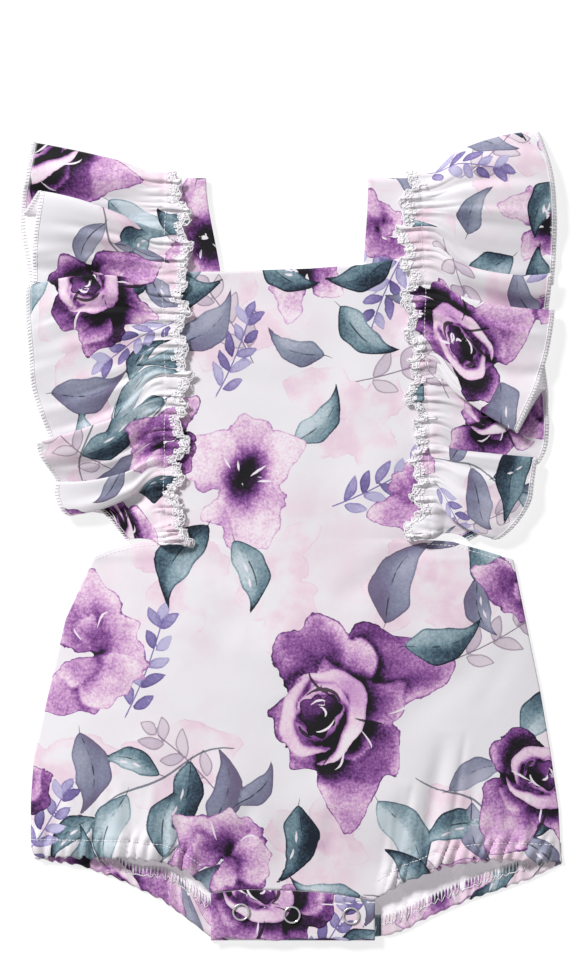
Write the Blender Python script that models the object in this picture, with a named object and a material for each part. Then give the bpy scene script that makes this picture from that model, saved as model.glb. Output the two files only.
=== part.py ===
"""Baby romper with gathered shoulder ruffles, lying flat with its front up.

Sizes are in millimetres and become metres where a mesh is made. X runs across the
garment, Y from the legs to the shoulders, Z up from the surface that it lies on.
Every cloth piece is a wall: rows of points on its lower and its upper face, bridged
row by row and closed round the rim.
"""
import math
from collections import namedtuple

import bmesh
import bpy
import numpy as np
from mathutils import Vector

MM = 0.001
SEAM_GAP = 0.3          # space between two pieces that are sewn or pressed together
CLOTH = 1.0             # wall of one layer of cloth
MIDDLE = (0.382, 0.4)     # X and Y of the garment's middle in the cutting plan

# Levels of the layers above the surface, each the lower face of its layer.
BACK_LEVEL = 0.0
STRAP_BACK_LEVEL = BACK_LEVEL + CLOTH + SEAM_GAP
STRAP_FRONT_LEVEL = 3.2
BIB_LEVEL = 4.8
TAB_LEVEL = 5.5
RUFFLE_LEVEL = 7.3      # middle of the cloth where the front ruffle is sewn on
RUFFLE_BACK_LEVEL = BACK_LEVEL + CLOTH / 2

# Bib, cut in one with the front of the shorts.
BIB_LEFT, BIB_RIGHT = -68.0, 72.0
NECKLINE = ((-68, 140), (-36, 140.5), (10, 142), (38, 144), (58, 147.5), (72, 149))
LEFT_ARMHOLE = ((-2, -68), (-3.5, -82), (-7, -96), (-10.5, -104))
RIGHT_ARMHOLE = ((-2, 72), (-3, 86), (-7.5, 102), (-12.5, 118))
LEFT_SEAM = ((-170, -136), (-163, -138), (-140, -138), (-118, -136.5), (-87, -129.5),
             (-44, -119.5), (-10.5, -104))
RIGHT_SEAM = ((-173, 144), (-166, 143), (-145, 142), (-113, 137.5), (-81, 132),
              (-47, 125), (-12.5, 118))
LEFT_SIDE, RIGHT_SIDE = (LEFT_ARMHOLE, LEFT_SEAM), (RIGHT_ARMHOLE, RIGHT_SEAM)
CHEST = LEFT_ARMHOLE[0][0]
# Rows of the shorts front: how far down a row is in the middle, and at its two ends.
ROW_ENDS = ((0.0, 0.0), (0.03, 0.012), (0.06, 0.03), (0.10, 0.05), (0.2, 0.15), (0.36, 0.36),
            (1.0, 1.0))
FRONT_HEM = ((-136, -170), (-110, -170), (-85, -170.5), (-67, -172.5), (-56, -177),
             (-47, -184), (-43, -189), (-24, -187), (0, -187.5), (21, -189), (44, -193),
             (48, -190), (60, -183), (71, -179), (79, -175.5), (95, -172.5),
             (116, -171.5), (144, -173))
BACK_HEM = ((-136, -171), (-112, -174.5), (-91, -182), (-69, -192.5), (-54, -203.5),
            (-43, -212.5), (44, -212.5), (51, -212), (61, -208.5), (71, -203), (82, -198),
            (95, -192.5), (110, -187.5), (126, -182), (143, -174))
BACK_WAIST = ((-104, -11), (-68, -5), (0, -4), (72, -5), (118, -13))

# How high the front stands over the back: at the side edges, and what it gains inside.
Lift = namedtuple("Lift", "y edge crown")
FRONT_LIFT = (Lift(-175, 1.3, 8.4), Lift(-150, 1.3, 8.8), Lift(-110, 1.3, 9.0),
              Lift(-50, 1.3, 8.0), Lift(-14, 1.5, 5.8), Lift(4, 4.5, 2.2),
              Lift(60, BIB_LEVEL, 0.5), Lift(150, BIB_LEVEL - 0.4, 0.2))

FOLD_TOP = -25.0        # Y below which the front's folds have their full height
BAND_PULL = (-135.0, -184.0)    # Y between which the crotch band draws the front level

# Largest soft folds of the front: a line from start to end, its height and half width.
Fold = namedtuple("Fold", "x0 y0 x1 y1 height spread")
FRONT_FOLDS = (Fold(79, -160, 91, -100, 1.4, 9), Fold(60, -168, 68, -128, 1.1, 8),
               Fold(-117, -160, -116, -96, 1.0, 9), Fold(-20, -180, -12, -135, 1.2, 9),
               Fold(104, -30, 84, -74, 1.0, 10), Fold(-92, -24, -74, -70, 1.0, 10))

# Elastic casings at the legs and the back waist.
CASING_WIDTH = 8.0
CASING_FADE = 24.0      # distance from a casing's edge at which its gathers have faded
CASING_CLOTH = 0.7      # what the turned hem and its elastic add to the wall
HEM_STEP = 2.0          # width over which the wall thins again past a casing
FRONT_GATHER = 0.8      # height of a gather to each side of the cloth's own level
BACK_GATHER = 0.8
LEG_PITCH = 5.8         # from one gather to the next along a leg opening
LEG_END = 138.0         # distance from the middle where the leg gathers have faded
WAIST_PITCH = 7.2
WAIST_END = 108.0
GATHER_FADE = 10.0

# Crotch bands with three ring snaps.
BAND_LEFT, BAND_RIGHT = -42.5, 44.5
BAND_END = -214.2
BAND_CLOTH = 1.2
BACK_BAND_TOP = -191.0
BACK_BAND_LEVEL = 2.8   # middle of the back band's upper layer
SNAPS = ((-26.5, -199.0), (0.5, -200.5), (31.8, -201.0))
SNAP_SEGMENTS = 20
RING_RADIUS = 4.1       # to the middle of the ring's wire
RING_WIRE = 0.55        # half the wire's thickness
RING_SIDES = 6
SOCKET_RADIUS, SOCKET_HOLE = 3.9, 1.9
STUD_RADIUS, STUD_POST = 3.9, 1.5
STUD_FLANGE = 0.6

# Straps: one strip each, sewn behind the bib, over the shoulder, to the back waist.
SHOULDER = 190.2
STRAP_FRONT_END = 127.0
STRAP_BACK_END = -12.0
STRAP_CLIMB = (14.0, 4.0)   # Y between which a strap climbs onto the back waist
Strap = namedtuple("Strap", "side outer inner_top inner_bib inner_back")
STRAPS = (Strap("left", -68.0, -45.0, -36.5, -38.0), Strap("right", 70.0, 41.0, 38.0, 40.0))

# Ruffles: a gathered strip each, sewn on along one line, with a narrow heading that
# stands inside the line. A row per rib, from the back waist over the shoulder and down
# the front: where it meets the sewing line, how far along it is halfway out, where it
# meets the outer edge, its height halfway and at the edge, and the heading's width.
Rib = namedtuple("Rib", "stitch mid edge_x edge_y rise_mid rise_edge heading")
FLAT = RUFFLE_BACK_LEVEL
BACK_RIBS_LEFT = (
    Rib(4, 9, -110, 13, FLAT, FLAT, 8), Rib(25, 27, -121, 30, FLAT, FLAT, 9),
    Rib(55, 56, -127, 56, FLAT, FLAT, 8), Rib(85, 84, -135, 83, FLAT, FLAT, 9),
    Rib(120, 123, -137, 125, FLAT, FLAT, 8), Rib(150, 151, -141.5, 152, FLAT, FLAT, 9),
    Rib(170, 171, -143.5, 170, FLAT, FLAT, 8), Rib(188, 197, -138, 203, FLAT, FLAT, 6),
)
FRONT_RIBS_LEFT = (
    Rib(193, 202, -137.5, 209, 4.0, 3.2, 5), Rib(189, 196, -139, 199, 9.0, 6.0, 6),
    Rib(183, 187, -141, 188, 10.0, 7.0, 8), Rib(175, 177, -142.5, 181, 5.2, 2.8, 10),
    Rib(167, 167, -142, 171, 3.4, 2.2, 11), Rib(158, 175, -132.5, 184, 13.6, 11.5, 12),
    Rib(151, 161, -135.5, 165, 12.0, 9.0, 12), Rib(145, 149, -137, 148, 6.4, 5.0, 13),
    Rib(139, 133, -137, 135, 3.0, 4.0, 10), Rib(131, 139, -140, 131, 11.5, 7.5, 8),
    Rib(120, 125, -140, 115, 11.0, 8.0, 11), Rib(109, 107, -138.5, 96, 9.0, 7.0, 11),
    Rib(98, 88, -137.5, 79, 7.0, 5.0, 10), Rib(88, 72, -132, 62, 5.0, 3.2, 11),
    Rib(80, 52, -127, 48, 3.0, 2.4, 10), Rib(72, 61, -134, 50, 13.0, 10.0, 11),
    Rib(62, 49, -133, 43, 12.0, 9.0, 10), Rib(53, 38, -127, 34, 5.5, 4.2, 11),
    Rib(48, 28, -121, 24, 3.2, 2.6, 10), Rib(43, 32, -124, 29.5, 11.0, 8.5, 9),
    Rib(38.5, 26, -125, 21.5, 11.0, 8.0, 8), Rib(34, 17, -119, 11, 9.5, 7.0, 7),
    Rib(28, 22, -108, 16, 4.4, 3.4, 7), Rib(22, 17, -101, 13.5, 3.4, 2.4, 7),
    Rib(13, 10, -96, 9, 5.5, 3.6, 8), Rib(5, 4, -91.5, 3.5, 5.0, 3.4, 8),
    Rib(-5, -1.5, -87, -2.4, 5.6, 3.4, 9),
)
BACK_RIBS_RIGHT = (
    Rib(4, 6, 100, 9, FLAT, FLAT, 8), Rib(28, 32, 126.5, 35, FLAT, FLAT, 9),
    Rib(52, 54, 134, 56, FLAT, FLAT, 8), Rib(75, 75, 136.7, 73.5, FLAT, FLAT, 9),
    Rib(100, 100, 134, 99, FLAT, FLAT, 8), Rib(130, 131, 136.7, 130.5, FLAT, FLAT, 9),
    Rib(165, 167, 139, 168, FLAT, FLAT, 8), Rib(188, 202, 132.5, 207, FLAT, FLAT, 6),
)
FRONT_RIBS_RIGHT = (
    Rib(193, 209, 131, 215.3, 4.5, 3.2, 6), Rib(189, 203, 135, 205, 10.0, 7.0, 7),
    Rib(182, 190, 139, 190, 12.0, 9.0, 8), Rib(174, 175, 140.5, 172, 12.0, 9.0, 9),
    Rib(166, 157, 140.5, 154, 6.2, 4.6, 9), Rib(159, 131, 139, 133, 3.3, 3.2, 10),
    Rib(154, 141, 138.3, 140, 12.0, 9.5, 10), Rib(148, 133.5, 137.3, 129.5, 12.0, 9.0, 10),
    Rib(143, 126, 136.7, 124, 5.5, 4.2, 10), Rib(138, 118, 136.7, 118, 3.3, 2.6, 9),
    Rib(133, 124, 139.4, 120, 11.0, 8.0, 9), Rib(125, 112, 137.8, 107, 12.0, 9.0, 9),
    Rib(117, 101, 135.7, 96, 11.0, 9.0, 8), Rib(108, 90, 132.5, 86, 8.5, 8.0, 8),
    Rib(99, 82, 130.4, 79, 11.0, 11.5, 7), Rib(90, 69, 118.7, 53, 10.5, 11.5, 6),
    Rib(80, 79, 134, 79, 3.8, 4.2, 8), Rib(71, 66, 136.5, 65, 3.4, 2.2, 9),
    Rib(63, 57, 136.7, 59, 8.5, 3.4, 3), Rib(57, 46, 135.7, 47, 4.2, 3.0, 5),
    Rib(52, 38, 131, 38, 2.8, 2.2, 6), Rib(47, 45, 130.4, 42, 10.0, 7.8, 6.5),
    Rib(40, 32, 128.3, 27, 10.5, 8.0, 6.5), Rib(33, 21, 126.7, 17.8, 10.5, 8.0, 7),
    Rib(27, 12, 119, 6, 10.0, 8.0, 8), Rib(21, 5, 109, -1.8, 8.5, 6.5, 8),
    Rib(15, 11, 105, 4, 4.4, 3.2, 8), Rib(9, 6.5, 100, 1, 3.2, 2.3, 8),
    Rib(-2, 1.5, 94, -2.4, 4.6, 3.0, 8),
)
Ruffle = namedtuple("Ruffle", "side line_top line_bottom inward back front")
RUFFLES = (Ruffle("left", -67.0, -67.0, 1.0, BACK_RIBS_LEFT, FRONT_RIBS_LEFT),
           Ruffle("right", 68.5, 74.0, -1.0, BACK_RIBS_RIGHT, FRONT_RIBS_RIGHT))
RUFFLE_PITCH = 5.6      # along the sewing line, from one gather to the next
LINE_GATHER = 0.7       # height of a gather on the sewing line
HEADING_GATHER = 1.3    # and at the heading's edge
GATHER_REACH = 0.25     # share of the ruffle's width over which its gathers fade
FOLD_REACH = 0.32       # and over which its folds grow out of the sewing line
ROUNDING = 0.17         # how far along the ribs a fold's turn is rounded, in ribs

COLOURS = {
    "print": (0.82, 0.76, 0.82, 1.0),
    "print_inside": (0.70, 0.67, 0.71, 1.0),
    "nickel": (0.62, 0.62, 0.64, 1.0),
}


def ramp(start, end, value):
    """0 before start and 1 past end, with a smooth rise between them."""
    t = min(max((value - start) / (end - start), 0.0), 1.0)
    return t * t * (3.0 - 2.0 * t)


def along(table, value):
    """Second column of a table at a value of its first, between straight runs."""
    keys, results = zip(*table)
    return float(np.interp(value, keys, results))


def spread(start, end, count):
    """Evenly spaced values, both ends included."""
    return [start + (end - start) * i / (count - 1) for i in range(count)]


def material(name, metallic=0.0, roughness=0.85):
    """Principled material in one of the named colours."""
    found = bpy.data.materials.get(name)
    if found:
        return found
    made = bpy.data.materials.new(name)
    made.use_nodes = True
    shader = made.node_tree.nodes["Principled BSDF"]
    shader.inputs["Base Color"].default_value = COLOURS[name]
    shader.inputs["Metallic"].default_value = metallic
    shader.inputs["Roughness"].default_value = roughness
    return made


def add_object(name, bm, surface):
    """Turns a bmesh in millimetres into a named object about the garment's middle."""
    bmesh.ops.translate(bm, verts=bm.verts, vec=(-MIDDLE[0], -MIDDLE[1], 0.0))
    bmesh.ops.scale(bm, verts=bm.verts, vec=(MM, MM, MM))
    bmesh.ops.recalc_face_normals(bm, faces=bm.faces)
    mesh = bpy.data.meshes.new(name)
    bm.to_mesh(mesh)
    bm.free()
    mesh.shade_smooth()
    mesh.set_sharp_from_angle(angle=math.radians(50))
    mesh.materials.append(surface)
    made = bpy.data.objects.new(name, mesh)
    bpy.context.collection.objects.link(made)
    return made


def bridge(bm, near, far):
    """Triangles between two rows of (key, vertex) whose keys run the same way."""
    i = j = 0
    while i < len(near) - 1 or j < len(far) - 1:
        step_near = j == len(far) - 1
        if i < len(near) - 1 and j < len(far) - 1:
            step_near = near[i + 1][0] + near[i][0] <= far[j + 1][0] + far[j][0]
        if step_near:
            bm.faces.new((near[i][1], near[i + 1][1], far[j][1]))
            i += 1
        else:
            bm.faces.new((near[i][1], far[j + 1][1], far[j][1]))
            j += 1


def cloth_wall(name, rows, faces, surface):
    """Closed wall through rows of stations.

    rows: for each row its place v and its stations u. faces(u, v) gives the lower and
    the upper point at a station, in millimetres.
    """
    bm = bmesh.new()
    lower, upper = [], []
    for v, stations in rows:
        pairs = [(u, faces(u, v)) for u in stations]
        lower.append([(u, bm.verts.new(pair[0])) for u, pair in pairs])
        upper.append([(u, bm.verts.new(pair[1])) for u, pair in pairs])
    for sheet in (lower, upper):
        for near, far in zip(sheet, sheet[1:]):
            bridge(bm, near, far)
    for end in (0, -1):
        bridge(bm, lower[end], upper[end])
    for end in (0, -1):
        near = [(k, row[end][1]) for k, row in enumerate(lower)]
        far = [(k, row[end][1]) for k, row in enumerate(upper)]
        bridge(bm, near, far)
    return add_object(name, bm, surface)


def gather(distance, pitch, height):
    """Uneven wave of gathers along a seam: each crest differs a little in height."""
    turn = 2.0 * math.pi * distance / pitch
    return height * math.sin(turn) * (0.8 + 0.2 * math.sin(0.31 * turn + 1.0))


def gathered(start, end, pitch):
    """Both ends of a span, with the crests and troughs of the gathers between them."""
    steps = range(math.floor(2.0 * start / pitch), math.ceil(2.0 * end / pitch))
    places = [(k + 0.5) * pitch / 2.0 for k in steps]
    return [start] + [x for x in places if start + SEAM_GAP < x < end - SEAM_GAP] + [end]


def hem_stations(left, right):
    """Stations along a leg hem, the crotch band and the other leg hem, as shares."""
    band = spread(BAND_LEFT, BAND_RIGHT, 10)
    values = (gathered(left, BAND_LEFT, LEG_PITCH) + band[1:-1]
              + gathered(BAND_RIGHT, right, LEG_PITCH))
    return [(x - left) / (right - left) for x in values]


# ---------------------------------------------------------------- front and back panels

def side(y, outline):
    """X of one side edge: along the bib, then the armhole's hem, then the side seam."""
    armhole, seam = outline
    if y > armhole[0][0]:
        return armhole[0][1]
    if y > seam[-1][0]:
        return along(sorted(armhole), y)
    return along(seam, y)


def fold_height(x, y):
    """Height that the largest soft folds add at a point of the front."""
    total = 0.0
    for fold in FRONT_FOLDS:
        run = Vector((fold.x1 - fold.x0, fold.y1 - fold.y0))
        reach = Vector((x - fold.x0, y - fold.y0))
        t = min(max(reach.dot(run) / run.length_squared, 0.0), 1.0)
        gap = (reach - run * t).length
        total += fold.height * (1.0 - 0.5 * t) * math.exp(-(gap / fold.spread) ** 2)
    return total


def casing_shape(distance):
    """1 inside an elastic casing, fading over the cloth next to it."""
    return 1.0 - ramp(CASING_WIDTH, CASING_FADE, distance)


def front_level(x, y):
    """Lower face of the front panel, without the gathers of its hems."""
    left, right = side(y, LEFT_SIDE), side(y, RIGHT_SIDE)
    across = abs(2.0 * x - left - right) / (right - left)
    edge = along([(lift.y, lift.edge) for lift in FRONT_LIFT], y)
    crown = along([(lift.y, lift.crown) for lift in FRONT_LIFT], y)
    inside = 1.0 - min(across, 1.0) ** 3
    level = edge + crown * inside + fold_height(x, y) * inside * ramp(0.0, FOLD_TOP, y)
    to_band = (1.0 - ramp(BAND_RIGHT, 2.0 * BAND_RIGHT, abs(x))) * ramp(*BAND_PULL, y)
    return level + (TAB_LEVEL - level) * to_band


def leg_weight(x):
    """1 along the leg openings, 0 at the crotch band and at the side seams."""
    inside = ramp(BAND_RIGHT, BAND_RIGHT + GATHER_FADE, abs(x))
    return inside * (1.0 - ramp(LEG_END - GATHER_FADE, LEG_END, abs(x)))


def front_faces(u, v):
    """Both faces of the front: v is 0 at the neckline, 1 at the armholes, 2 at the hem."""
    if v <= 1.0:
        x = BIB_LEFT + u * (BIB_RIGHT - BIB_LEFT)
        y = along(NECKLINE, x) + v * (CHEST - along(NECKLINE, x))
        hem_distance = CASING_FADE
    else:
        ends = along(ROW_ENDS, v - 1.0)
        left = side(CHEST + ends * (LEFT_SEAM[0][0] - CHEST), LEFT_SIDE)
        right = side(CHEST + ends * (RIGHT_SEAM[0][0] - CHEST), RIGHT_SIDE)
        x = left + u * (right - left)
        down = ends + (v - 1.0 - ends) * (1.0 - abs(2.0 * u - 1.0) ** 3)
        hem_distance = (1.0 - down) * (CHEST - along(FRONT_HEM, x))
        y = along(FRONT_HEM, x) + hem_distance
    level = front_level(x, y)
    casing = casing_shape(hem_distance) * leg_weight(x)
    hem_x = LEFT_SEAM[0][1] + u * (RIGHT_SEAM[0][1] - LEFT_SEAM[0][1])
    level += gather(hem_x, LEG_PITCH, FRONT_GATHER) * casing
    hem = CASING_CLOTH * (1.0 - ramp(CASING_WIDTH, CASING_WIDTH + HEM_STEP, hem_distance))
    return (x, y, level), (x, y, level + CLOTH + hem)


def front_panel():
    """Bib and shorts front in one piece, with gathered casings at the leg hems."""
    bib = spread(0.0, 1.0, 17)
    body = spread(0.0, 1.0, 27)
    hem = hem_stations(LEFT_SEAM[0][1], RIGHT_SEAM[0][1])
    rows = [(v, bib) for v in (0.0, 0.04, 0.2, 0.4, 0.6, 0.8, 0.94, 1.0)]
    rows += [(1.0 + depth, body) for depth in (0.03, 0.06, 0.10, 0.2, 0.32, 0.45, 0.58,
                                               0.7, 0.81, 0.9)]
    rows += [(1.0 + depth, hem) for depth in (0.95, 0.976, 1.0)]
    return cloth_wall("front_panel", rows, front_faces, material("print"))


def back_faces(u, v):
    """Both faces of the back: v is 0 at the waist and 1 at the leg hems."""
    waist_x = BACK_WAIST[0][0] + u * (BACK_WAIST[-1][0] - BACK_WAIST[0][0])
    hem_x = BACK_HEM[0][0] + u * (BACK_HEM[-1][0] - BACK_HEM[0][0])
    waist_y = along(BACK_WAIST, waist_x)
    mid_y = waist_y + v * (LEFT_SEAM[0][0] - waist_y)
    left, right = along(LEFT_SEAM, mid_y), along(RIGHT_SEAM, mid_y)
    x = left + u * (right - left)
    hem_y = along(BACK_HEM, x)
    y = waist_y + v * (hem_y - waist_y)
    leg = casing_shape(y - hem_y) * leg_weight(x) * gather(hem_x, LEG_PITCH, BACK_GATHER)
    waist_inside = 1.0 - ramp(WAIST_END - GATHER_FADE, WAIST_END, abs(x))
    waist = casing_shape(waist_y - y) * waist_inside * gather(waist_x, WAIST_PITCH, BACK_GATHER)
    return (x, y, BACK_LEVEL), (x, y, BACK_LEVEL + CLOTH + max(leg + waist, 0.0))


def back_panel():
    """Back of the shorts, flat on the surface, gathered at the waist and the legs."""
    left, right = BACK_WAIST[0][0], BACK_WAIST[-1][0]
    waist = [(x - left) / (right - left) for x in gathered(left, right, WAIST_PITCH)]
    body = spread(0.0, 1.0, 21)
    hem = hem_stations(BACK_HEM[0][0], BACK_HEM[-1][0])
    rows = [(0.0, waist), (0.05, waist)]
    rows += [(v, body) for v in (0.15, 0.35, 0.55, 0.75, 0.88)]
    rows += [(0.96, hem), (1.0, hem)]
    return cloth_wall("back_panel", rows, back_faces, material("print_inside"))


# ------------------------------------------------------------------------------- straps

def strap_path():
    """Middle line of a strap in the Y and Z plane, from its front end to its back end."""
    front = STRAP_FRONT_LEVEL + CLOTH / 2
    back = STRAP_BACK_LEVEL + CLOTH / 2
    radius = (front - back) / 2
    turn_y = SHOULDER - radius - CLOTH / 2
    path = [(y, front) for y in spread(STRAP_FRONT_END, turn_y, 6)]
    for angle in spread(60.0, -60.0, 3):
        turn = math.radians(angle)
        path.append((turn_y + radius * math.cos(turn), back + radius * (1 + math.sin(turn))))
    path += [(y, back) for y in spread(turn_y, STRAP_CLIMB[0], 8)]
    raised = BACK_LEVEL + CLOTH + BACK_GATHER + SEAM_GAP + CLOTH / 2
    path += [(STRAP_CLIMB[1], raised), (STRAP_BACK_END, raised)]
    return path


def strap(shape):
    """One strap, folded over at the shoulder."""
    path = [Vector((0.0, y, z)) for y, z in strap_path()]
    turn = len(path) // 2

    def faces(u, v):
        k = round(v)
        before, after = path[max(k - 1, 0)], path[min(k + 1, len(path) - 1)]
        run = (after - before).normalized()
        normal = Vector((0.0, -run.z, run.y)) * (CLOTH / 2)
        y = path[k].y
        narrow = ramp(STRAP_FRONT_END, SHOULDER, y)
        wide = shape.inner_bib if k < turn else shape.inner_back
        inner = wide + (shape.inner_top - wide) * narrow
        x = shape.outer + u * (inner - shape.outer)
        middle = Vector((x, y, path[k].z))
        return middle - normal, middle + normal

    rows = [(k, spread(0.0, 1.0, 4)) for k in range(len(path))]
    return cloth_wall(f"strap_{shape.side}", rows, faces, material("print"))


# ------------------------------------------------------------------------------ ruffles

def spline(ribs, u):
    """Values between the table's ribs, on a smooth curve through them."""
    u = min(max(u, 0.0), len(ribs) - 1.0)
    k = min(int(u), len(ribs) - 2)
    t = u - k
    p0, p1 = ribs[max(k - 1, 0)], ribs[k]
    p2, p3 = ribs[k + 1], ribs[min(k + 2, len(ribs) - 1)]
    values = []
    for a, b, c, d in zip(p0, p1, p2, p3):
        bend = (2 * a - 5 * b + 4 * c - d) * t * t + (3 * b - a - 3 * c + d) * t ** 3
        values.append(b + 0.5 * ((c - a) * t + bend))
    return values


def rib_at(ribs, u):
    """Rib at a place between the table's ribs, with the turns of the folds rounded."""
    total = [0.0] * len(Rib._fields)
    for step, weight in ((-2, 1 / 9), (-1, 2 / 9), (0, 3 / 9), (1, 2 / 9), (2, 1 / 9)):
        for k, value in enumerate(spline(ribs, u + step * ROUNDING)):
            total[k] += weight * value
    return Rib(*total)


def through(start, middle, end, t):
    """Value on the parabola through three evenly spaced values."""
    return (start * (1 - t) * (1 - 2 * t) + 4 * middle * t * (1 - t) + end * t * (2 * t - 1))


def ruffle_point(ruffle, ribs, u, v):
    """Middle of the cloth: v is -1 at the heading's edge, 0 on the sewing line, 1 outside."""
    rib = rib_at(ribs, u)
    fold = len(ruffle.back)
    front = ramp(fold - 1.0, fold + 1.0, u)
    level = RUFFLE_BACK_LEVEL + (RUFFLE_LEVEL - RUFFLE_BACK_LEVEL) * front
    line = ruffle.line_bottom + (ruffle.line_top - ruffle.line_bottom) * rib.stitch / SHOULDER
    lively = ramp(fold + 0.2, fold + 1.2, u)
    if v < 0.0:
        height = LINE_GATHER + (HEADING_GATHER - LINE_GATHER) * -v
        lift = 0.5 * lively * -v + gather(rib.stitch, RUFFLE_PITCH, height) * lively
        x = line + ruffle.inward * rib.heading * -v
        return Vector((x, rib.stitch, level + lift))
    fade = lively * (1.0 - ramp(0.0, GATHER_REACH, v))
    grown = ramp(0.0, FOLD_REACH, v)
    x = line + (rib.edge_x - line) * v
    y = rib.stitch + (through(rib.stitch, rib.mid, rib.edge_y, v) - rib.stitch) * grown
    z = level + (through(level, rib.rise_mid, rib.rise_edge, v) - level) * grown
    z += gather(rib.stitch, RUFFLE_PITCH, LINE_GATHER) * fade
    return Vector((x, y, max(z, RUFFLE_BACK_LEVEL)))


def ruffle_strip(ruffle):
    """One ruffle: the strip's hidden half lies flat behind, its front half in folds."""
    ribs = ruffle.back + ruffle.front
    fold, last = len(ruffle.back), len(ribs) - 1
    step = 0.02

    def faces(u, v):
        middle = ruffle_point(ruffle, ribs, u, v)
        along_u = (ruffle_point(ruffle, ribs, min(u + step, last), v)
                   - ruffle_point(ruffle, ribs, max(u - step, 0.0), v))
        along_v = (ruffle_point(ruffle, ribs, u, min(v + step, 1.0))
                   - ruffle_point(ruffle, ribs, u, max(v - step, -1.0)))
        normal = along_u.cross(along_v).normalized() * (CLOTH / 2)
        return middle - normal, middle + normal

    behind = spread(0.0, fold - 1.0, fold)
    turn = spread(fold - 1.0, fold + 1.0, 7)
    folds = [k + part for k in range(fold + 1, last) for part in (0.0, 0.25, 0.5, 0.75)]
    wide = behind[:-1] + turn[:-1] + folds + [last]
    line_u = spread(fold + 1.0, last, 400)
    line_y = [rib_at(ribs, u).stitch for u in line_u]
    count = round(4 * (line_y[0] - line_y[-1]) / RUFFLE_PITCH) + 1
    waves = [float(np.interp(-y, [-value for value in line_y], line_u))
             for y in spread(line_y[0], line_y[-1], count)]
    fine = behind[:-1] + turn[:-1] + waves
    rows = [(v, fine) for v in (-1.0, -0.45, 0.0, 0.1)]
    rows += [(v, wide) for v in (0.17, 0.27, 0.45, 0.7, 1.0)]
    return cloth_wall(f"ruffle_{ruffle.side}", rows, faces, material("print"))


# -------------------------------------------------------------- crotch bands and snaps

def front_band():
    """Snap band on the front, sewn to the crotch edge and lying over the back's band."""
    def faces(u, v):
        x = BAND_LEFT + u * (BAND_RIGHT - BAND_LEFT)
        start = along(FRONT_HEM, x) - SEAM_GAP
        y = start + v * (BAND_END - start)
        return (x, y, TAB_LEVEL), (x, y, TAB_LEVEL + BAND_CLOTH)

    rows = [(v, spread(0.0, 1.0, 11)) for v in (0.0, 0.5, 1.0)]
    return cloth_wall("crotch_band_front", rows, faces, material("print"))


def back_band():
    """Snap band on the back, folded up over the back panel's end."""
    low = BACK_LEVEL + CLOTH / 2
    high = BACK_BAND_LEVEL
    radius = (high - low) / 2
    seam = along(BACK_HEM, 0.0) - SEAM_GAP
    path = [(seam, low)]
    for angle in spread(-60.0, 60.0, 4):
        turn = math.radians(angle)
        path.append((seam - 0.2 - radius * math.cos(turn), low + radius * (1 + math.sin(turn))))
    path += [(seam, high), (BACK_BAND_TOP, high)]
    points = [Vector((0.0, y, z)) for y, z in path]

    def faces(u, v):
        k = round(v)
        run = points[min(k + 1, len(points) - 1)] - points[max(k - 1, 0)]
        run.normalize()
        normal = Vector((0.0, -run.z, run.y)) * (CLOTH / 2)
        middle = points[k].copy()
        middle.x = BAND_LEFT + u * (BAND_RIGHT - BAND_LEFT)
        return middle - normal, middle + normal

    rows = [(k, spread(0.0, 1.0, 5)) for k in range(len(points))]
    return cloth_wall("crotch_band_back", rows, faces, material("print"))


def turned(name, profile, place, closed):
    """Round metal piece: a profile of (radius, height) turned about an upright axis.

    A profile that isn't closed gets a disc at each end.
    """
    bm = bmesh.new()
    rings = []
    for k in range(SNAP_SEGMENTS):
        turn = 2.0 * math.pi * k / SNAP_SEGMENTS
        rings.append([bm.verts.new((place[0] + r * math.cos(turn),
                                    place[1] + r * math.sin(turn), z)) for r, z in profile])
    pairs = list(zip(range(len(profile)), range(1, len(profile))))
    if closed:
        pairs.append((len(profile) - 1, 0))
    for ring, following in zip(rings, rings[1:] + rings[:1]):
        for a, b in pairs:
            bm.faces.new((ring[a], following[a], following[b], ring[b]))
    if not closed:
        for end in (0, -1):
            bm.faces.new([ring[end] for ring in rings])
    return add_object(name, bm, material("nickel", metallic=1.0, roughness=0.25))


def snap(index, place):
    """One ring snap: ring on the front band, socket under it, stud on the back band."""
    seat = TAB_LEVEL + BAND_CLOTH + SEAM_GAP
    rise = RING_WIRE * math.cos(math.pi / RING_SIDES)
    wire = []
    for k in range(RING_SIDES):
        turn = 2.0 * math.pi * (k + 0.5) / RING_SIDES
        wire.append((RING_RADIUS + RING_WIRE * math.cos(turn),
                     seat + rise + RING_WIRE * math.sin(turn)))
    turned(f"snap_ring_{index}", wire, place, closed=True)
    base = BACK_BAND_LEVEL + CLOTH / 2 + SEAM_GAP
    split = base + STUD_FLANGE
    low, high = split + SEAM_GAP, TAB_LEVEL - SEAM_GAP
    socket = ((SOCKET_HOLE, low), (SOCKET_RADIUS, low), (SOCKET_RADIUS, high),
              (SOCKET_HOLE, high))
    turned(f"snap_socket_{index}", socket, place, closed=True)
    stud = ((STUD_RADIUS, base), (STUD_RADIUS, split), (STUD_POST, split),
            (STUD_POST, high - SEAM_GAP))
    turned(f"snap_stud_{index}", stud, place, closed=False)


def build():
    """Makes the whole garment in an empty scene."""
    for leftover in list(bpy.data.objects):
        bpy.data.objects.remove(leftover, do_unlink=True)
    front_panel()
    back_panel()
    for shape in STRAPS:
        strap(shape)
    for ruffle in RUFFLES:
        ruffle_strip(ruffle)
    front_band()
    back_band()
    for index, place in enumerate(SNAPS, start=1):
        snap(index, place)


build()
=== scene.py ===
# %% [markdown]
# # A baby romper, laid flat
#
# The garment is thin printed cotton: a front cut in one with its bib, a back, two straps,
# two gathered ruffles and a snap band at the crotch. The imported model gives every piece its
# place. Here each piece gets its real surface: fine gathers, soft creases, a painted floral
# print, overlocked edges and rows of stitches.

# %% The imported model
import math
from collections import namedtuple

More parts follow.
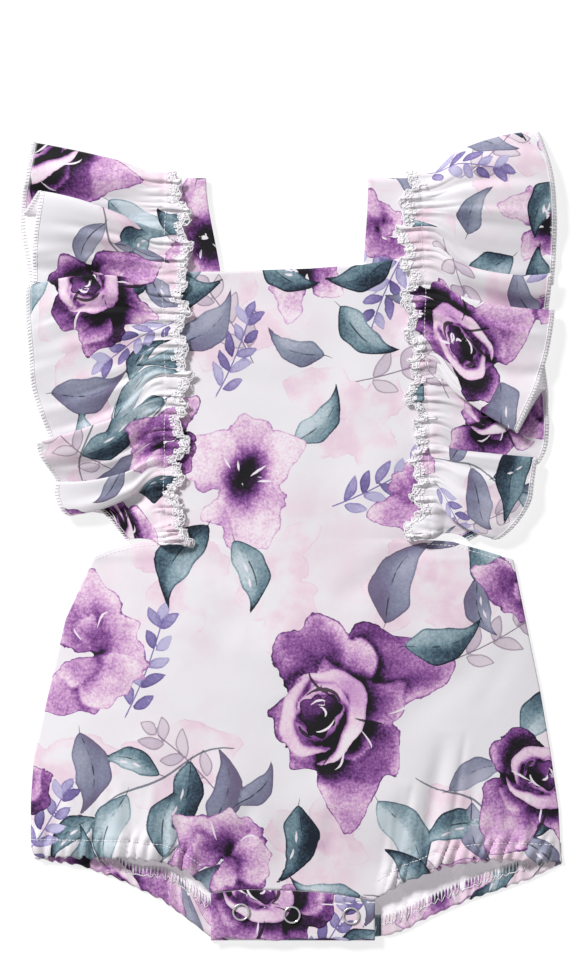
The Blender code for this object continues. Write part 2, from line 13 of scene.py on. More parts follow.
import bpy
import numpy as np
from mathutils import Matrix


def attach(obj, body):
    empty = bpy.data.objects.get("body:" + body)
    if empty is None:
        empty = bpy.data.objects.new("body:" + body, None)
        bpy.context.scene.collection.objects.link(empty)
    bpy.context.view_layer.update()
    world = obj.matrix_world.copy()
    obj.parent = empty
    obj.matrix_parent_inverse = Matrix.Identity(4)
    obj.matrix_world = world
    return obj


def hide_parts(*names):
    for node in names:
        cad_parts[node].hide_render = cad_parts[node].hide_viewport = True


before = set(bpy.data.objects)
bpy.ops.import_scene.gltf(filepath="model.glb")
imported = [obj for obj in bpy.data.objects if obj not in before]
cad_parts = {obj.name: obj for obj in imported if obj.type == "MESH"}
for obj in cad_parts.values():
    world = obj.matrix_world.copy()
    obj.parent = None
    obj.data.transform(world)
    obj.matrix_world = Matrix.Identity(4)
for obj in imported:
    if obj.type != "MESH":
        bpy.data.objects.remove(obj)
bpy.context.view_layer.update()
MM = 0.001              # the sizes below are millimetres
MIDDLE = np.array((0.382, 0.4, 0.0))    # the frame's origin in the cutting plan
print("CAD nodes:", len(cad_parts))

# %% [markdown]
# ## Camera
#
# A flat lay is taken from straight above. A long lens far away keeps the edges of the
# garment as wide as its middle, so what is high doesn't look larger. The lens follows from
# the stretch of surface that the picture's long side takes in.

# %% Camera
VIEW_LONG = 510.4       # stretch of the surface along the picture's long side
VIEW_MIDDLE = (0.15, 28.7)
CAMERA_HEIGHT = 2500.0
CLOTH_HEIGHT = 6.0      # height at which the view has exactly that stretch
SIGHT = 20.0            # metres that the camera sees

bpy.ops.object.select_all(action="DESELECT")
bpy.ops.object.camera_add(location=(VIEW_MIDDLE[0] * MM, VIEW_MIDDLE[1] * MM,
                                    (CAMERA_HEIGHT + CLOTH_HEIGHT) * MM))
camera = bpy.context.object
camera.data.lens = camera.data.sensor_width * CAMERA_HEIGHT / VIEW_LONG
camera.data.clip_end = SIGHT
bpy.context.scene.camera = camera
print("lens:", round(camera.data.lens, 1))

# %% [markdown]
# ## Sums on sockets
#
# A finish is a web of nodes, and most of them do plain sums. With a small class round a
# socket, a sum is written as one, and Python adds the Math nodes. The nodes could be placed
# one by one in the editor, but a finish with hundreds of them is easier to read as text.

# %% Sums
class Value:
    """A socket that stands in a sum: each operator adds a Math node."""

    def __init__(self, finish, socket):
        self.finish, self.socket = finish, socket

    def math(self, operation, *others):
        return self.finish.node("ShaderNodeMath", {"operation": operation}, (self, *others))

    def __add__(self, other):
        return self.math("ADD", other)

    def __mul__(self, other):
        return self.math("MULTIPLY", other)

    __radd__, __rmul__ = __add__, __mul__

    def __sub__(self, other):
        return self.math("SUBTRACT", other)

    def __rsub__(self, other):
        return self.finish.node("ShaderNodeMath", {"operation": "SUBTRACT"}, (other, self))

    def step(self, start, end):
        """0 at start, 1 at end, with a smooth rise: start may be the larger."""
        low, high = min(start, end), max(start, end)
        ends = (0.0, 1.0) if start < end else (1.0, 0.0)
        return self.finish.node("ShaderNodeMapRange", {"interpolation_type": "SMOOTHSTEP"},
                                (self, low, high, *ends))


# %% [markdown]
# ## A finish
#
# A finish is Blender's ready-made surface shader with nodes that feed its sockets. Every
# node is made by one method, which links what comes from other nodes and sets what is a
# plain number. Sizes are given in millimetres of cloth.

# %% Finish
class Finish:
    """A material whose nodes come from one method."""

    def __init__(self, name, **constants):
        self.material = bpy.data.materials.new(name)
        self.material.use_nodes = True
        self.tree = self.material.node_tree
        self.shader = self.tree.nodes["Principled BSDF"]
        for socket, value in constants.items():
            self.shader.inputs[socket.replace("_", " ")].default_value = value

    def node(self, kind, settings, values=(), output=0):
        made = self.tree.nodes.new(kind)
        for key, value in settings.items():
            if key == "stops":
                self.fill_ramp(made.color_ramp, value)
            else:
                setattr(made, key, value)
        pairs = values.items() if isinstance(values, dict) else enumerate(values)
        for key, value in pairs:
            if isinstance(value, Value):
                self.tree.links.new(value.socket, made.inputs[key])
            else:
                made.inputs[key].default_value = value
        return Value(self, made.outputs[output])

    @staticmethod
    def fill_ramp(ramp, stops):
        while len(ramp.elements) < len(stops):
            ramp.elements.new(1.0)
        for element, (place, colour) in zip(ramp.elements, stops):
            element.position = place
            element.color = colour

    def attribute(self, name):
        return self.node("ShaderNodeAttribute", {"attribute_name": name}, output="Fac")

    def place(self):
        """The place on the piece, in its own metres."""
        return self.node("ShaderNodeTexCoord", {}, output="Object")

    def noise(self, size, detail=2.0, rough=0.5):
        """Cloudy values from 0 to 1, in patches of about size millimetres."""
        return self.node("ShaderNodeTexNoise", {},
                         {"Vector": self.place(), "Scale": 1.0 / (size * MM),
                          "Detail": detail, "Roughness": rough})

    def height(self):
        """Millimetres above the table."""
        return self.node("ShaderNodeSeparateXYZ", {}, (self.place(),), output="Z") * (1.0 / MM)

    def ramp(self, value, stops):
        return self.node("ShaderNodeValToRGB", {"stops": stops}, (value,))

    def mix(self, share, under, over):
        """A colour laid over another: the node's colours are its sockets 6, 7 and out 2."""
        return self.node("ShaderNodeMix", {"data_type": "RGBA"},
                         {0: share, 6: under, 7: over}, output=2)

    def bump(self, height, distance, strength=1.0):
        normal = self.node("ShaderNodeBump", {},
                           {"Strength": strength, "Distance": distance * MM,
                            "Height": height})
        self.set("Normal", normal)

    def set(self, socket, value):
        if isinstance(value, Value):
            self.tree.links.new(value.socket, self.shader.inputs[socket])
        else:
            self.shader.inputs[socket].default_value = value


SCREEN_CURVE = 2.2      # a screen's values rise with this power of the light


def colour(red, green, blue):
    """Linear colour from screen values of 0 to 255."""
    linear = [(c / 255) ** SCREEN_CURVE for c in (red, green, blue)]
    return (*linear, 1.0)


print("middle grey:", round(colour(128, 128, 128)[0], 3))

# %% [markdown]
# ## Small sums for shapes
#
# The panels are surfaces over a grid of points. A point could be moved by hand, one at a
# time, but these small sums work on whole grids at once, so a fold stays a formula with a
# few sizes that can be changed later.

# %% Shape helpers
def ramp(start, end, value):
    """0 at start and 1 at end, with a smooth rise between them."""
    t = np.clip((value - start) / (end - start), 0.0, 1.0)
    return t * t * (3.0 - 2.0 * t)


def along(table, value):
    """Second column of a table at values of its first, between straight runs."""
    keys, results = zip(*table)
    return np.interp(value, keys, results)


def unit(vectors):
    """Directions of vectors, each one long."""
    return vectors / np.maximum(np.linalg.norm(vectors, axis=-1, keepdims=True), 1e-9)


print("ramp at its quarter, half and end:", ramp(0.0, 4.0, np.array((1.0, 2.0, 4.0))))

# %% [markdown]
# ## The print
#
# The cloth is printed with loose watercolour flowers: plum and lilac blooms with near-black
# hearts, blue-grey leaves, lavender sprigs and faint outlined twigs, over blush washes on
# white. Painting it as an image would blur close up. Instead each motif is a small formula
# that says how far a place on the cloth lies inside its outline. Those distances are kept
# at the points of the mesh, where they change evenly, and the material turns each one into
# a crisp painted edge. The cloth repeats the layout as a printing roller does.

# %% Blooms
REPEAT = (300.0, 345.0)     # the roller's width and length

# A bloom: its middle, how far its petals reach, how it is turned, how dark it is, how many
# petals it has, its heart (0 none, 1 rolled like a rose, 2 a dark blot) and its layer.
Bloom = namedtuple("Bloom", "x y reach turn tone petals heart layer")
BLOOMS = (Bloom(28, -92, 57, 205, 0.56, 6, 1, 0), Bloom(-26, 28, 38, 70, 0.13, 7, 2, 0),
          Bloom(-66, 48, 27, 150, 0.62, 4, 0, 1), Bloom(-106, -62, 40, 10, 0.34, 5, 0, 0),
          Bloom(136, -136, 42, 120, 0.62, 6, 1, 1), Bloom(-36, -170, 33, 60, 0.38, 5, 0, 0),
          Bloom(84, -196, 26, 200, 0.46, 5, 2, 0), Bloom(66, 24, 24, 300, 0.30, 4, 0, 0),
          Bloom(112, 92, 44, 20, 0.60, 6, 1, 0), Bloom(-112, 118, 40, 250, 0.52, 6, 1, 1),
          Bloom(-134, 22, 28, 40, 0.28, 5, 2, 1), Bloom(8, 138, 26, 120, 0.26, 5, 2, 0),
          Bloom(130, -30, 30, 80, 0.42, 5, 0, 0))
# Large pale flowers, thin as a wash, that lie under all the rest.
PALE_BLOOMS = (Bloom(-62, -16, 42, 30, 0.16, 5, 0, 2), Bloom(76, -28, 40, 110, 0.15, 6, 0, 2),
               Bloom(-8, -28, 36, 200, 0.06, 5, 0, 2), Bloom(30, 62, 34, 20, 0.07, 5, 0, 2),
               Bloom(-70, -124, 38, 300, 0.14, 5, 0, 2), Bloom(100, -164, 40, 60, 0.16, 6, 0, 2),
               Bloom(18, -168, 34, 140, 0.14, 5, 0, 2), Bloom(-100, 76, 40, 90, 0.10, 6, 0, 2),
               Bloom(70, 128, 40, 10, 0.09, 5, 0, 2), Bloom(146, 36, 40, 70, 0.10, 5, 0, 2),
               Bloom(-30, 120, 34, 222, 0.08, 5, 0, 2), Bloom(-140, -130, 36, 20, 0.10, 5, 0, 2))
print("blooms in a repeat:", len(BLOOMS), "and pale ones:", len(PALE_BLOOMS))

# %% Leaves
# A leaf: its foot, length, width, heading in degrees, how dark it is, and 1 if it lies
# over the blooms.
Leaf = namedtuple("Leaf", "x y length width heading tone over")
LEAVES = (Leaf(50, -46, 48, 23, 66, 0.62, 1), Leaf(60, -58, 42, 19, 14, 0.48, 1),
          Leaf(4, -142, 42, 18, 260, 0.70, 0), Leaf(46, -140, 48, 22, 300, 0.30, 0),
          Leaf(-44, 6, 46, 22, 238, 0.66, 1),
          Leaf(-30, -2, 38, 18, 288, 0.40, 1), Leaf(2, 50, 36, 16, 48, 0.34, 0),
          Leaf(-112, -104, 42, 20, 276, 0.62, 0), Leaf(-130, -30, 38, 17, 110, 0.56, 1),
          Leaf(104, -152, 36, 16, 196, 0.44, 0), Leaf(-16, -196, 34, 15, 330, 0.60, 1),
          Leaf(134, 120, 46, 21, 46, 0.66, 1), Leaf(-84, 138, 46, 22, 352, 0.66, 1),
          Leaf(-122, 152, 40, 18, 70, 0.40, 1), Leaf(26, 122, 38, 17, 318, 0.54, 1),
          Leaf(150, -82, 42, 19, 226, 0.52, 0), Leaf(112, 0, 38, 18, 130, 0.62, 1),
          Leaf(18, 96, 32, 14, 160, 0.32, 0), Leaf(146, 6, 36, 16, 316, 0.36, 0))
print("single leaves:", len(LEAVES))

# %% Sprigs, twigs and sprays
# A sprig or a twig: where its stem starts, its length and heading, and its leaflets'
# length and width.
Sprig = namedtuple("Sprig", "x y length heading leaf_length leaf_width")
SPRIGS = (Sprig(-88, -96, 54, 62, 15, 6.0), Sprig(22, 16, 50, 20, 15, 5.6),
          Sprig(60, 150, 46, 240, 14, 5.4), Sprig(-146, -176, 46, 50, 14, 5.6),
          Sprig(-40, 74, 44, 60, 14, 5.2))
TWIGS = (Sprig(84, -66, 46, 20, 17, 6.5), Sprig(34, 82, 46, 10, 17, 6.5),
         Sprig(-40, -134, 42, 130, 16, 6.2), Sprig(-20, 92, 44, 115, 17, 6.5),
         Sprig(60, -160, 40, 285, 16, 6.0), Sprig(-118, 84, 42, 200, 16, 6.2),
         Sprig(146, 60, 40, 110, 16, 6.2), Sprig(-86, 6, 40, 190, 16, 6.0))

# A spray: a bent branch that carries leaves to both sides and one at its tip.
Spray = namedtuple("Spray", "x y length heading bend leaf_length leaf_width tone over")
SPRAYS = (Spray(-30, -112, 80, 192, 0.26, 38, 15, 0.46, 0),
          Spray(66, -128, 62, 344, -0.26, 34, 14, 0.40, 0),
          Spray(-64, 66, 66, 96, -0.24, 36, 16, 0.56, 0),
          Spray(96, 56, 76, 262, 0.18, 38, 17, 0.60, 0),
          Spray(-136, 84, 62, 290, 0.22, 36, 16, 0.50, 0),
          Spray(104, 130, 70, 150, 0.18, 38, 17, 0.56, 1),
          Spray(-86, -178, 66, 20, 0.22, 34, 15, 0.60, 0))
print("sprigs, twigs and sprays:", len(SPRIGS), len(TWIGS), len(SPRAYS))

# %% Washes
# A wash of thin colour: its middle, its size across and along, and its depth.
Wash = namedtuple("Wash", "x y across along depth")
BLUSH = (Wash(60, -20, 44, 34, 0.9), Wash(-40, -40, 46, 26, 0.7), Wash(6, 4, 44, 24, 0.8),
         Wash(-70, 24, 34, 34, 0.7), Wash(110, -170, 50, 22, 1.0), Wash(-120, -30, 34, 34, 0.8),
         Wash(80, 60, 34, 26, 0.7), Wash(-20, 110, 40, 22, 0.6), Wash(4, -178, 50, 22, 1.0),
         Wash(-100, 96, 44, 26, 0.9), Wash(136, 120, 36, 28, 0.8), Wash(-60, -110, 30, 30, 0.6))
print("washes:", len(BLUSH))

# %% [markdown]
# ## Where a motif lies
#
# A place on the cloth is first seen from a motif's own foot and heading. Its distance outside
# the outline is then a sum of sines. A place on the next repeat of the roller is brought back
# to the nearest one, so the print has no seam. A petal and a leaf share one outline: widest
# at a belly, and pointed or blunt at the tip.

# %% Places and outlines
def local(s, t, x, y, heading, reach):
    """Places within reach of a motif's foot, with their distances along and across it."""
    dx = (s - x + REPEAT[0] / 2) % REPEAT[0] - REPEAT[0] / 2
    dy = (t - y + REPEAT[1] / 2) % REPEAT[1] - REPEAT[1] / 2
    near = np.flatnonzero((np.abs(dx) < reach) & (np.abs(dy) < reach))
    return near, *turned(dx[near], dy[near], math.radians(heading))


def turned(dx, dy, turn):
    """Distances along and across a heading, in radians."""
    cos, sin = math.cos(turn), math.sin(turn)
    return dx * cos + dy * sin, dy * cos - dx * sin


def half_width(share, width, belly, blunt):
    """Half the width of a petal or leaf: belly moves its widest part, blunt rounds it."""
    return 0.5 * width * np.sin(np.pi * np.clip(share, 0.0, 1.0) ** belly) ** blunt


def blade(a, b, length, width, belly, blunt):
    """Distance outside a petal or leaf."""
    ends = np.maximum(-a, a - length)
    return np.maximum(np.abs(b) - half_width(a / length, width, belly, blunt), ends)


# %% [markdown]
# ## Layers of the print
#
# A printer uses a roller for each colour. Here each kind of motif has a layer: it keeps, for
# every place, the distance to the nearest outline, with that motif's tone. A thin stem is
# kept as its two sides, because a line narrower than the mesh would be lost between points.

# %% Layers
FAR = 9.0                   # distance kept where a motif doesn't reach
STEM_REACH = 3.0            # a thin stem's sides are kept only this near to it


class Cloth:
    """The print's distances and tones at the places (s, t) of one piece of cloth."""

    def __init__(self, s, t):
        self.s, self.t = s.ravel(), t.ravel()
        self.layers = {}
        self.nearest = {}

    def layer(self, name, start):
        """A layer by its name, filled with the start value when it is new."""
        if name not in self.layers:
            self.layers[name] = np.full(len(self.s), start)
        return self.layers[name]

    def stamp(self, name, near, distance, **values):
        """Keeps the nearest outline of a layer, with that motif's tone and hue."""
        kept = self.layer(name, FAR)
        closer = distance < kept[near]
        kept[near[closer]] = distance[closer]
        for key, value in values.items():
            held = self.layer(f"{name}_{key}", 0.0)
            held[near[closer]] = value[closer]

    def stem(self, name, near, a, across, length, taper=0.0):
        """Keeps how far a place lies off each side of a stem, so that even a thin line
        stays exact between the mesh's points. A taper thins it towards its ends."""
        beyond = np.maximum(-a, a - length)
        thin = taper * (2.0 * np.clip(a / length, 0.0, 1.0) - 1.0) ** 2
        distance = np.maximum(np.abs(across) + thin, beyond)
        kept = self.nearest.setdefault(name, np.full(len(self.s), FAR))
        closer = distance < kept[near]
        kept[near[closer]] = distance[closer]
        for key, value in (("left", across), ("right", -across)):
            held = self.layer(f"{name}_{key}", FAR)
            reach = np.maximum(value + thin, beyond)
            reach = np.where(np.abs(across) < STEM_REACH, reach, FAR)
            held[near[closer]] = np.clip(reach, -FAR, FAR)[closer]

    def wash(self, washes, name):
        """Keeps how deep the thin colour of round washes is."""
        total = self.layer(name, 0.0)
        for wash in washes:
            reach = 2.0 * max(wash.across, wash.along)
            near, a, b = local(self.s, self.t, wash.x, wash.y, 0.0, reach)
            spot = np.exp(-(a / wash.across) ** 2 - (b / wash.along) ** 2)
            total[near] = np.maximum(total[near], wash.depth * spot)


# %% [markdown]
# ## Blooms
#
# Petals are laid wet over each other: soft where they run together, and dark in creases. A
# heart is one of three: a plain darker middle, a dark blot with slivers left unpainted beside
# it, or a rose's rolled heart, whose petals are thin crescents between two circles.

# %% Strokes in a bloom
PETAL_SHAPE = (1.25, 0.60)  # where a petal is widest, and how blunt it is
STROKE_TAPER = 0.6          # how much thinner a stroke gets towards its ends


def flank_gap(cloth, name, near, share, across, length, width, start, end):
    """A stroke along part of a petal's side: a pale gap or a dark crease."""
    flank = across - half_width(share, width, *PETAL_SHAPE)
    cloth.stem(name, near, (share - start) * length, flank, (end - start) * length,
               STROKE_TAPER)


def slivers(cloth, bloom):
    """Bright strokes left unpainted to one side of a bloom's dark blot."""
    for k in range(4):
        heading = bloom.turn + 42.0 * (k - 1.5) + 12.0 * math.sin(4.0 * k)
        near, a, b = local(cloth.s, cloth.t, bloom.x, bloom.y, heading, bloom.reach)
        start = bloom.reach * (0.22 + 0.07 * math.sin(5.0 * k))
        length = bloom.reach * (0.20 + 0.08 * math.sin(2.0 * k))
        cloth.stem("spark", near, a - start, b + 0.10 * (a - start) ** 2 / length, length,
                   STROKE_TAPER)


# %% Rose heart
# The curled petals of a rose's heart: radius, where it opens and how thick it is.
CURLS = ((1.0, -0.7, 0.36), (0.84, 2.3, 0.30), (0.66, 0.5, 0.24), (0.58, -2.3, 0.22))

# Pale and dark strokes inside the heart: radius, where one opens and how far it runs, in
# radians.
HEART_STROKES = (("spark", ((0.36, 0.3, 1.5), (0.30, 3.2, 1.3), (0.14, 1.6, 2.2))),
                 ("ink", ((0.53, 2.6, 1.7), (0.50, 5.6, 0.9))))


def curled_petal(cloth, near, a, b, angle, size, k):
    """One crescent: a ragged circle with a smaller one cut out of it."""
    radius, opening, shift = CURLS[k]
    bent = radius * size * (1.0 + 0.05 * np.sin(3.0 * angle + 2.0 * k)
                            + 0.025 * np.sin(8.0 * angle + k))
    off_a = 0.07 * size * math.sin(2.0 * k)
    off_b = 0.07 * size * math.cos(3.0 * k)
    outer = np.hypot(a - off_a, b - off_b) - bent
    hole_a = off_a + shift * size * math.cos(opening)
    hole_b = off_b + shift * size * math.sin(opening)
    hole = np.hypot(a - hole_a, b - hole_b) - 0.90 * bent
    away = np.maximum(outer, -hole)
    depth = 0.02 + 0.10 * k + 0.34 * ramp(-0.12 * size, 0.0, -hole)
    depth = depth + 0.26 * np.maximum(np.sin(angle - 1.2 + 0.7 * k), 0.0) ** 2
    cloth.stamp("curl", near, away, tone=depth)


def rose_heart(cloth, bloom, near, x, y):
    """A rolled heart: pale curled petals round a dark oval. Returns its shadow's tone."""
    size = 0.46 * bloom.reach
    a, b = turned(x - 0.22 * bloom.reach, y + 0.06 * bloom.reach, 0.6)
    b = 1.16 * b
    angle = np.arctan2(b, a)
    for k in range(len(CURLS)):
        curled_petal(cloth, near, a, b, angle, size, k)
    ring = np.hypot(a, b) / size
    ragged = 0.44 + 0.06 * np.sin(3.0 * angle) + 0.04 * np.sin(8.0 * angle + 2.0)
    shade = 0.88 + 0.22 * np.sin(angle + 0.6)
    cloth.stamp("heart", near, (ring - ragged) * size, tone=shade)
    for name, strokes in HEART_STROKES:
        for radius, opening, sweep in strokes:
            turn = (angle - opening) % (2.0 * np.pi)
            cloth.stem(name, near, turn * radius * size, (ring - radius) * size,
                       sweep * radius * size, STROKE_TAPER)
    deep = np.exp(-(np.maximum(ring - 1.0, 0.0) * size / 7.0) ** 2)
    return 0.50 * deep * (0.7 + 0.3 * np.sin(angle)) - 0.12 * (ring < 1.0)


# %% Petals
def petal(cloth, bloom, near, x, y, k, mass, tone):
    """Lays petal k over the mass and tone of those before it, and returns both."""
    inner = k >= bloom.petals
    size = bloom.reach * (0.60 if inner else 1.0)
    length = size * (0.86 + 0.24 * math.sin(3.1 * k + bloom.turn))
    width = size * (0.78 + 0.16 * math.sin(1.9 * k + bloom.x))
    side = (1.0, -1.0)[k % 2]
    step = 2.0 * math.pi / (bloom.petals // 2 if inner else bloom.petals)
    heading = step * (k + 0.35 * inner) + 0.34 * math.sin(2.0 * k + 1.0)
    a, b = turned(x, y, heading)
    lobes = 1.0 + 0.09 * np.sin(6.0 * b / length + k) + 0.05 * np.sin(15.0 * b / length)
    curl = b + side * 0.12 * length * np.sin(2.4 * a / length + 0.4 * k)
    curl = curl + 0.05 * length * np.sin(8.0 * a / length + 2.0 * k)
    away = blade(a / lobes, curl, length, width, *PETAL_SHAPE)
    share = np.clip(a / length, 0.0, 1.0)
    own = bloom.tone * (1.0 + 0.45 * math.sin(1.7 * k + bloom.turn))
    own = own * (1.0 + 0.75 * (0.50 - share)) + 0.06 * inner
    flank = 0.5 + 0.5 * np.tanh(side * curl / 4.0)
    own = own * (1.0 - 0.60 * np.exp(-(away / 6.0) ** 2) * flank)
    crease = 1.1 * bloom.tone * np.exp(-(np.maximum(away, 0.0) / 4.0) ** 2)
    tone = tone + crease * (mass < 0.0) * (1.0 - flank) * (1.0 - 0.7 * share)
    soft = ramp(1.2, -1.2, away)
    tone = tone * (1.0 - soft) + own * soft
    if bloom.tone > 0.25 and (k + int(bloom.turn)) % 3 == 1:
        flank_gap(cloth, "spark", near, share, curl * side, length, width, 0.30, 0.62)
    elif bloom.tone > 0.4 and (k + int(bloom.turn)) % 3 == 2:
        flank_gap(cloth, "ink", near, share, curl * side, length, width, 0.14, 0.50)
    return np.minimum(mass, away), tone


def paint_bloom(cloth, bloom):
    """A ring of petals, a smaller ring over it, and the heart."""
    near, x, y = local(cloth.s, cloth.t, bloom.x, bloom.y, bloom.turn, 1.5 * bloom.reach)
    mass, tone = np.full(len(near), FAR), np.full(len(near), bloom.tone)
    for k in range(bloom.petals + bloom.petals // 2):
        mass, tone = petal(cloth, bloom, near, x, y, k, mass, tone)
    if bloom.heart == 2:
        blot = np.hypot(x - 0.1 * bloom.reach, 1.4 * y) / (0.36 * bloom.reach)
        tone = tone + (1.05 - tone) * np.exp(-blot ** 3)
        slivers(cloth, bloom)
    elif bloom.heart == 0:
        tone = tone + 0.6 * bloom.tone * np.exp(-np.hypot(x, y) / (0.3 * bloom.reach))
    else:
        tone = tone + rose_heart(cloth, bloom, near, x, y)
    cloth.stamp(f"bloom_{bloom.layer}", near, mass, tone=tone)


# %% [markdown]
# ## Leaves
#
# A leaf is bent one way, notched along its sides and darker at its tip. Its stalk runs on
# as its vein. A spray carries leaves to both sides of a bent branch, and a sprig or a twig
# has small leaflets in pairs.

# %% Leaf
LEAF_SHAPE = (0.72, 1.10)   # where a leaf is widest, and how pointed it is
STALK = 4.0                 # how far the stalk stands out of its foot
VEINS = ((0.34, 0.16), (0.56, 0.20))        # where a pale side vein starts, and how far off


def paint_leaf(cloth, leaf):
    """A pointed leaf on a stalk that runs on as its bent vein to the dark tip."""
    name = "leaf_over" if leaf.over else "leaf_under"
    near, a, b = local(cloth.s, cloth.t, leaf.x, leaf.y, leaf.heading, 1.3 * leaf.length)
    share = a / leaf.length
    way = math.copysign(1.0, math.sin(leaf.x + leaf.heading))
    inside = np.clip(share, 0.0, 1.1)
    across = b - way * leaf.length * (0.13 * np.sin(2.6 * inside) - 0.14 * inside ** 5)
    nick = 1.0 + 0.08 * np.sin(8.0 * share + leaf.heading) + 0.06 * np.sin(17.0 * share)
    away = blade(a, across * nick, 1.06 * leaf.length, leaf.width, *LEAF_SHAPE)
    cloth.stem(f"{name}_stalk", near, a + STALK, across, 0.80 * leaf.length + STALK, 0.35)
    depth = leaf.tone + 0.30 * (0.40 - inside) + 0.62 * np.minimum(inside, 1.0) ** 6
    depth = depth + 0.20 * way * np.tanh(across / 2.0) + 0.16 * np.cos(5.0 * share + leaf.x)
    hue = 0.5 + 0.5 * math.sin(1.3 * leaf.x + 0.7 * leaf.y)
    cloth.stamp(name, near, away, tone=depth, hue=np.full(len(near), hue))
    if int(leaf.x + leaf.heading) % 3 == 0:
        for start, off in VEINS:
            cloth.stem("spark", near, a - start * leaf.length,
                       across + way * off * leaf.width, 0.14 * leaf.length, STROKE_TAPER)


# %% Sprays and sprigs
def foot_on(branch, share, sag):
    """Where a leaf grows on a branch that sags to one side."""
    foot = branch.length * share
    base = math.radians(branch.heading)
    x = branch.x + foot * math.cos(base) - sag * math.sin(base)
    y = branch.y + foot * math.sin(base) + sag * math.cos(base)
    return x, y


SPRAY_FEET = (0.30, 0.52, 0.76, 1.0)        # where its leaves grow, in shares of its length
SPRAY_TURNS = (48.0, -44.0, 40.0, 0.0)      # how far each leaf turns off it, in degrees
SPRIG_BEND = 0.12           # how far a stem sags to one side, in shares of its length


def paint_spray(cloth, spray):
    """A branch with its leaves, which turn away from it to alternate sides."""
    near, a, b = local(cloth.s, cloth.t, spray.x, spray.y, spray.heading,
                       1.2 * spray.length)
    across = b - spray.bend * a * a / spray.length
    across = across + 0.03 * spray.length * np.sin(9.0 * a / spray.length)
    cloth.stem("branch", near, a, across, spray.length, 0.3)
    for k, share in enumerate(SPRAY_FEET):
        x, y = foot_on(spray, share, spray.bend * (spray.length * share) * share)
        turn = SPRAY_TURNS[k] + math.degrees(2.0 * spray.bend * share)
        size = 1.0 + 0.16 * math.sin(3.0 * k + spray.x)
        tone = spray.tone + 0.18 * math.sin(2.0 * k + spray.y)
        paint_leaf(cloth, Leaf(x, y, spray.leaf_length * size, spray.leaf_width * size,
                               spray.heading + turn, tone, spray.over))


def paint_sprig(cloth, sprig, name, pairs):
    """A bent stem with leaflets in pairs and one at its tip."""
    for k in range(2 * pairs + 1):
        share = (k // 2 + 0.6) / pairs
        turn = (44.0, -44.0)[k % 2] + 8.0 * math.sin(3.0 * k)
        if k == 2 * pairs:
            share, turn = 1.0, 0.0
        x, y = foot_on(sprig, share, SPRIG_BEND * (sprig.length * share) * share)
        heading = sprig.heading + turn + 14.0 * share
        size = sprig.leaf_length * (1.05 - 0.3 * share + 0.12 * math.sin(5.0 * k))
        near, a, b = local(cloth.s, cloth.t, x, y, heading, 1.5 * size)
        curl = b + 0.08 * size * np.sin(3.0 * a / size + k)
        depth = 0.48 + 0.34 * math.sin(2.4 * k + sprig.x) - 0.32 * a / size
        cloth.stamp(name, near, blade(a - 0.8, curl, size, sprig.leaf_width, 0.9, 0.9),
                    tone=depth)
    near, a, b = local(cloth.s, cloth.t, sprig.x, sprig.y, sprig.heading,
                       1.2 * sprig.length)
    across = b - SPRIG_BEND * a * a / sprig.length
    cloth.stem(f"{name}_stem", near, a, across, sprig.length)


# %% The whole print
def printed_layers(s, t):
    """Every layer of the print at the places (s, t) of a piece of cloth."""
    cloth = Cloth(s, t)
    for bloom in PALE_BLOOMS + BLOOMS:
        paint_bloom(cloth, bloom)
    for leaf in LEAVES:
        paint_leaf(cloth, leaf)
    for spray in SPRAYS:
        paint_spray(cloth, spray)
    for sprig in SPRIGS:
        paint_sprig(cloth, sprig, "sprig", 5)
    for twig in TWIGS:
        paint_sprig(cloth, twig, "twig", 3)
    cloth.wash(BLUSH, "blush")
    return cloth.layers


SAMPLE_STEP = 12.0

sample = printed_layers(*np.meshgrid(*[np.arange(0.0, size, SAMPLE_STEP) for size in REPEAT]))
print("print layers:", len(sample), "share under large blooms:",
      round(float(np.mean(sample["bloom_0"] < 0.0)), 2))

# %% [markdown]
# ## The cloth's finish
#
# Watercolour dries darker at its edge and settles in grains. So each layer gets a darker
# rim, a grain and slow clouds before its tone picks a colour. The layers go on in the order
# of a painter: washes, twigs, leaves, petals, hearts and the leaves that lie on top.

# %% Print colours
GROUND = colour(234, 231, 236)
BLUSH_COLOUR = colour(232, 200, 217)
GAP_COLOUR = colour(238, 228, 238)
THREAD_COLOUR = colour(248, 246, 249)
# the wrong side's own colour, also the colour of its painted glow
INSIDE_AND_GLOW_COLOUR = colour(236, 232, 236)
PETAL_STOPS = ((0.0, colour(240, 229, 238)), (0.14, colour(233, 204, 224)),
               (0.32, colour(202, 154, 202)), (0.5, colour(150, 96, 160)),
               (0.68, colour(108, 58, 124)), (0.84, colour(56, 26, 68)),
               (1.0, colour(14, 9, 18)))
PALE_STOPS = ((0.0, colour(240, 230, 238)), (0.2, colour(238, 216, 228)),
              (0.6, colour(228, 196, 216)), (1.0, colour(214, 172, 204)))
LEAF_STOPS = ((0.0, colour(198, 210, 218)), (0.28, colour(150, 170, 180)),
              (0.52, colour(108, 134, 146)), (0.78, colour(62, 82, 98)),
              (1.0, colour(24, 34, 48)))
LEAF_MAUVE = colour(140, 124, 160)
SPRIG_STOPS = ((0.0, colour(188, 182, 216)), (0.5, colour(130, 118, 172)),
               (1.0, colour(80, 66, 120)))
TWIG_STOPS = ((0.0, colour(220, 208, 218)), (1.0, colour(186, 168, 188)))
TWIG_LINE = colour(134, 116, 136)
print("petal colours:", len(PETAL_STOPS), "leaf colours:", len(LEAF_STOPS))


# %% Brush
EDGE_BLUR, LINE_BLUR = 0.16, 0.15   # half width of the soft edge of a motif and of a stem
RIM = (-1.5, -0.1)                  # inside an edge, colour gets darker between these


def watercolour(finish, under, name, stops, wobble, grain, rim=0.22):
    """Lays one painted layer over the colours under it."""
    away = finish.attribute(name) + wobble
    tone = finish.attribute(f"{name}_tone") + grain + away.step(*RIM) * rim
    return finish.mix(away.step(EDGE_BLUR, -EDGE_BLUR), under, finish.ramp(tone, stops)), away


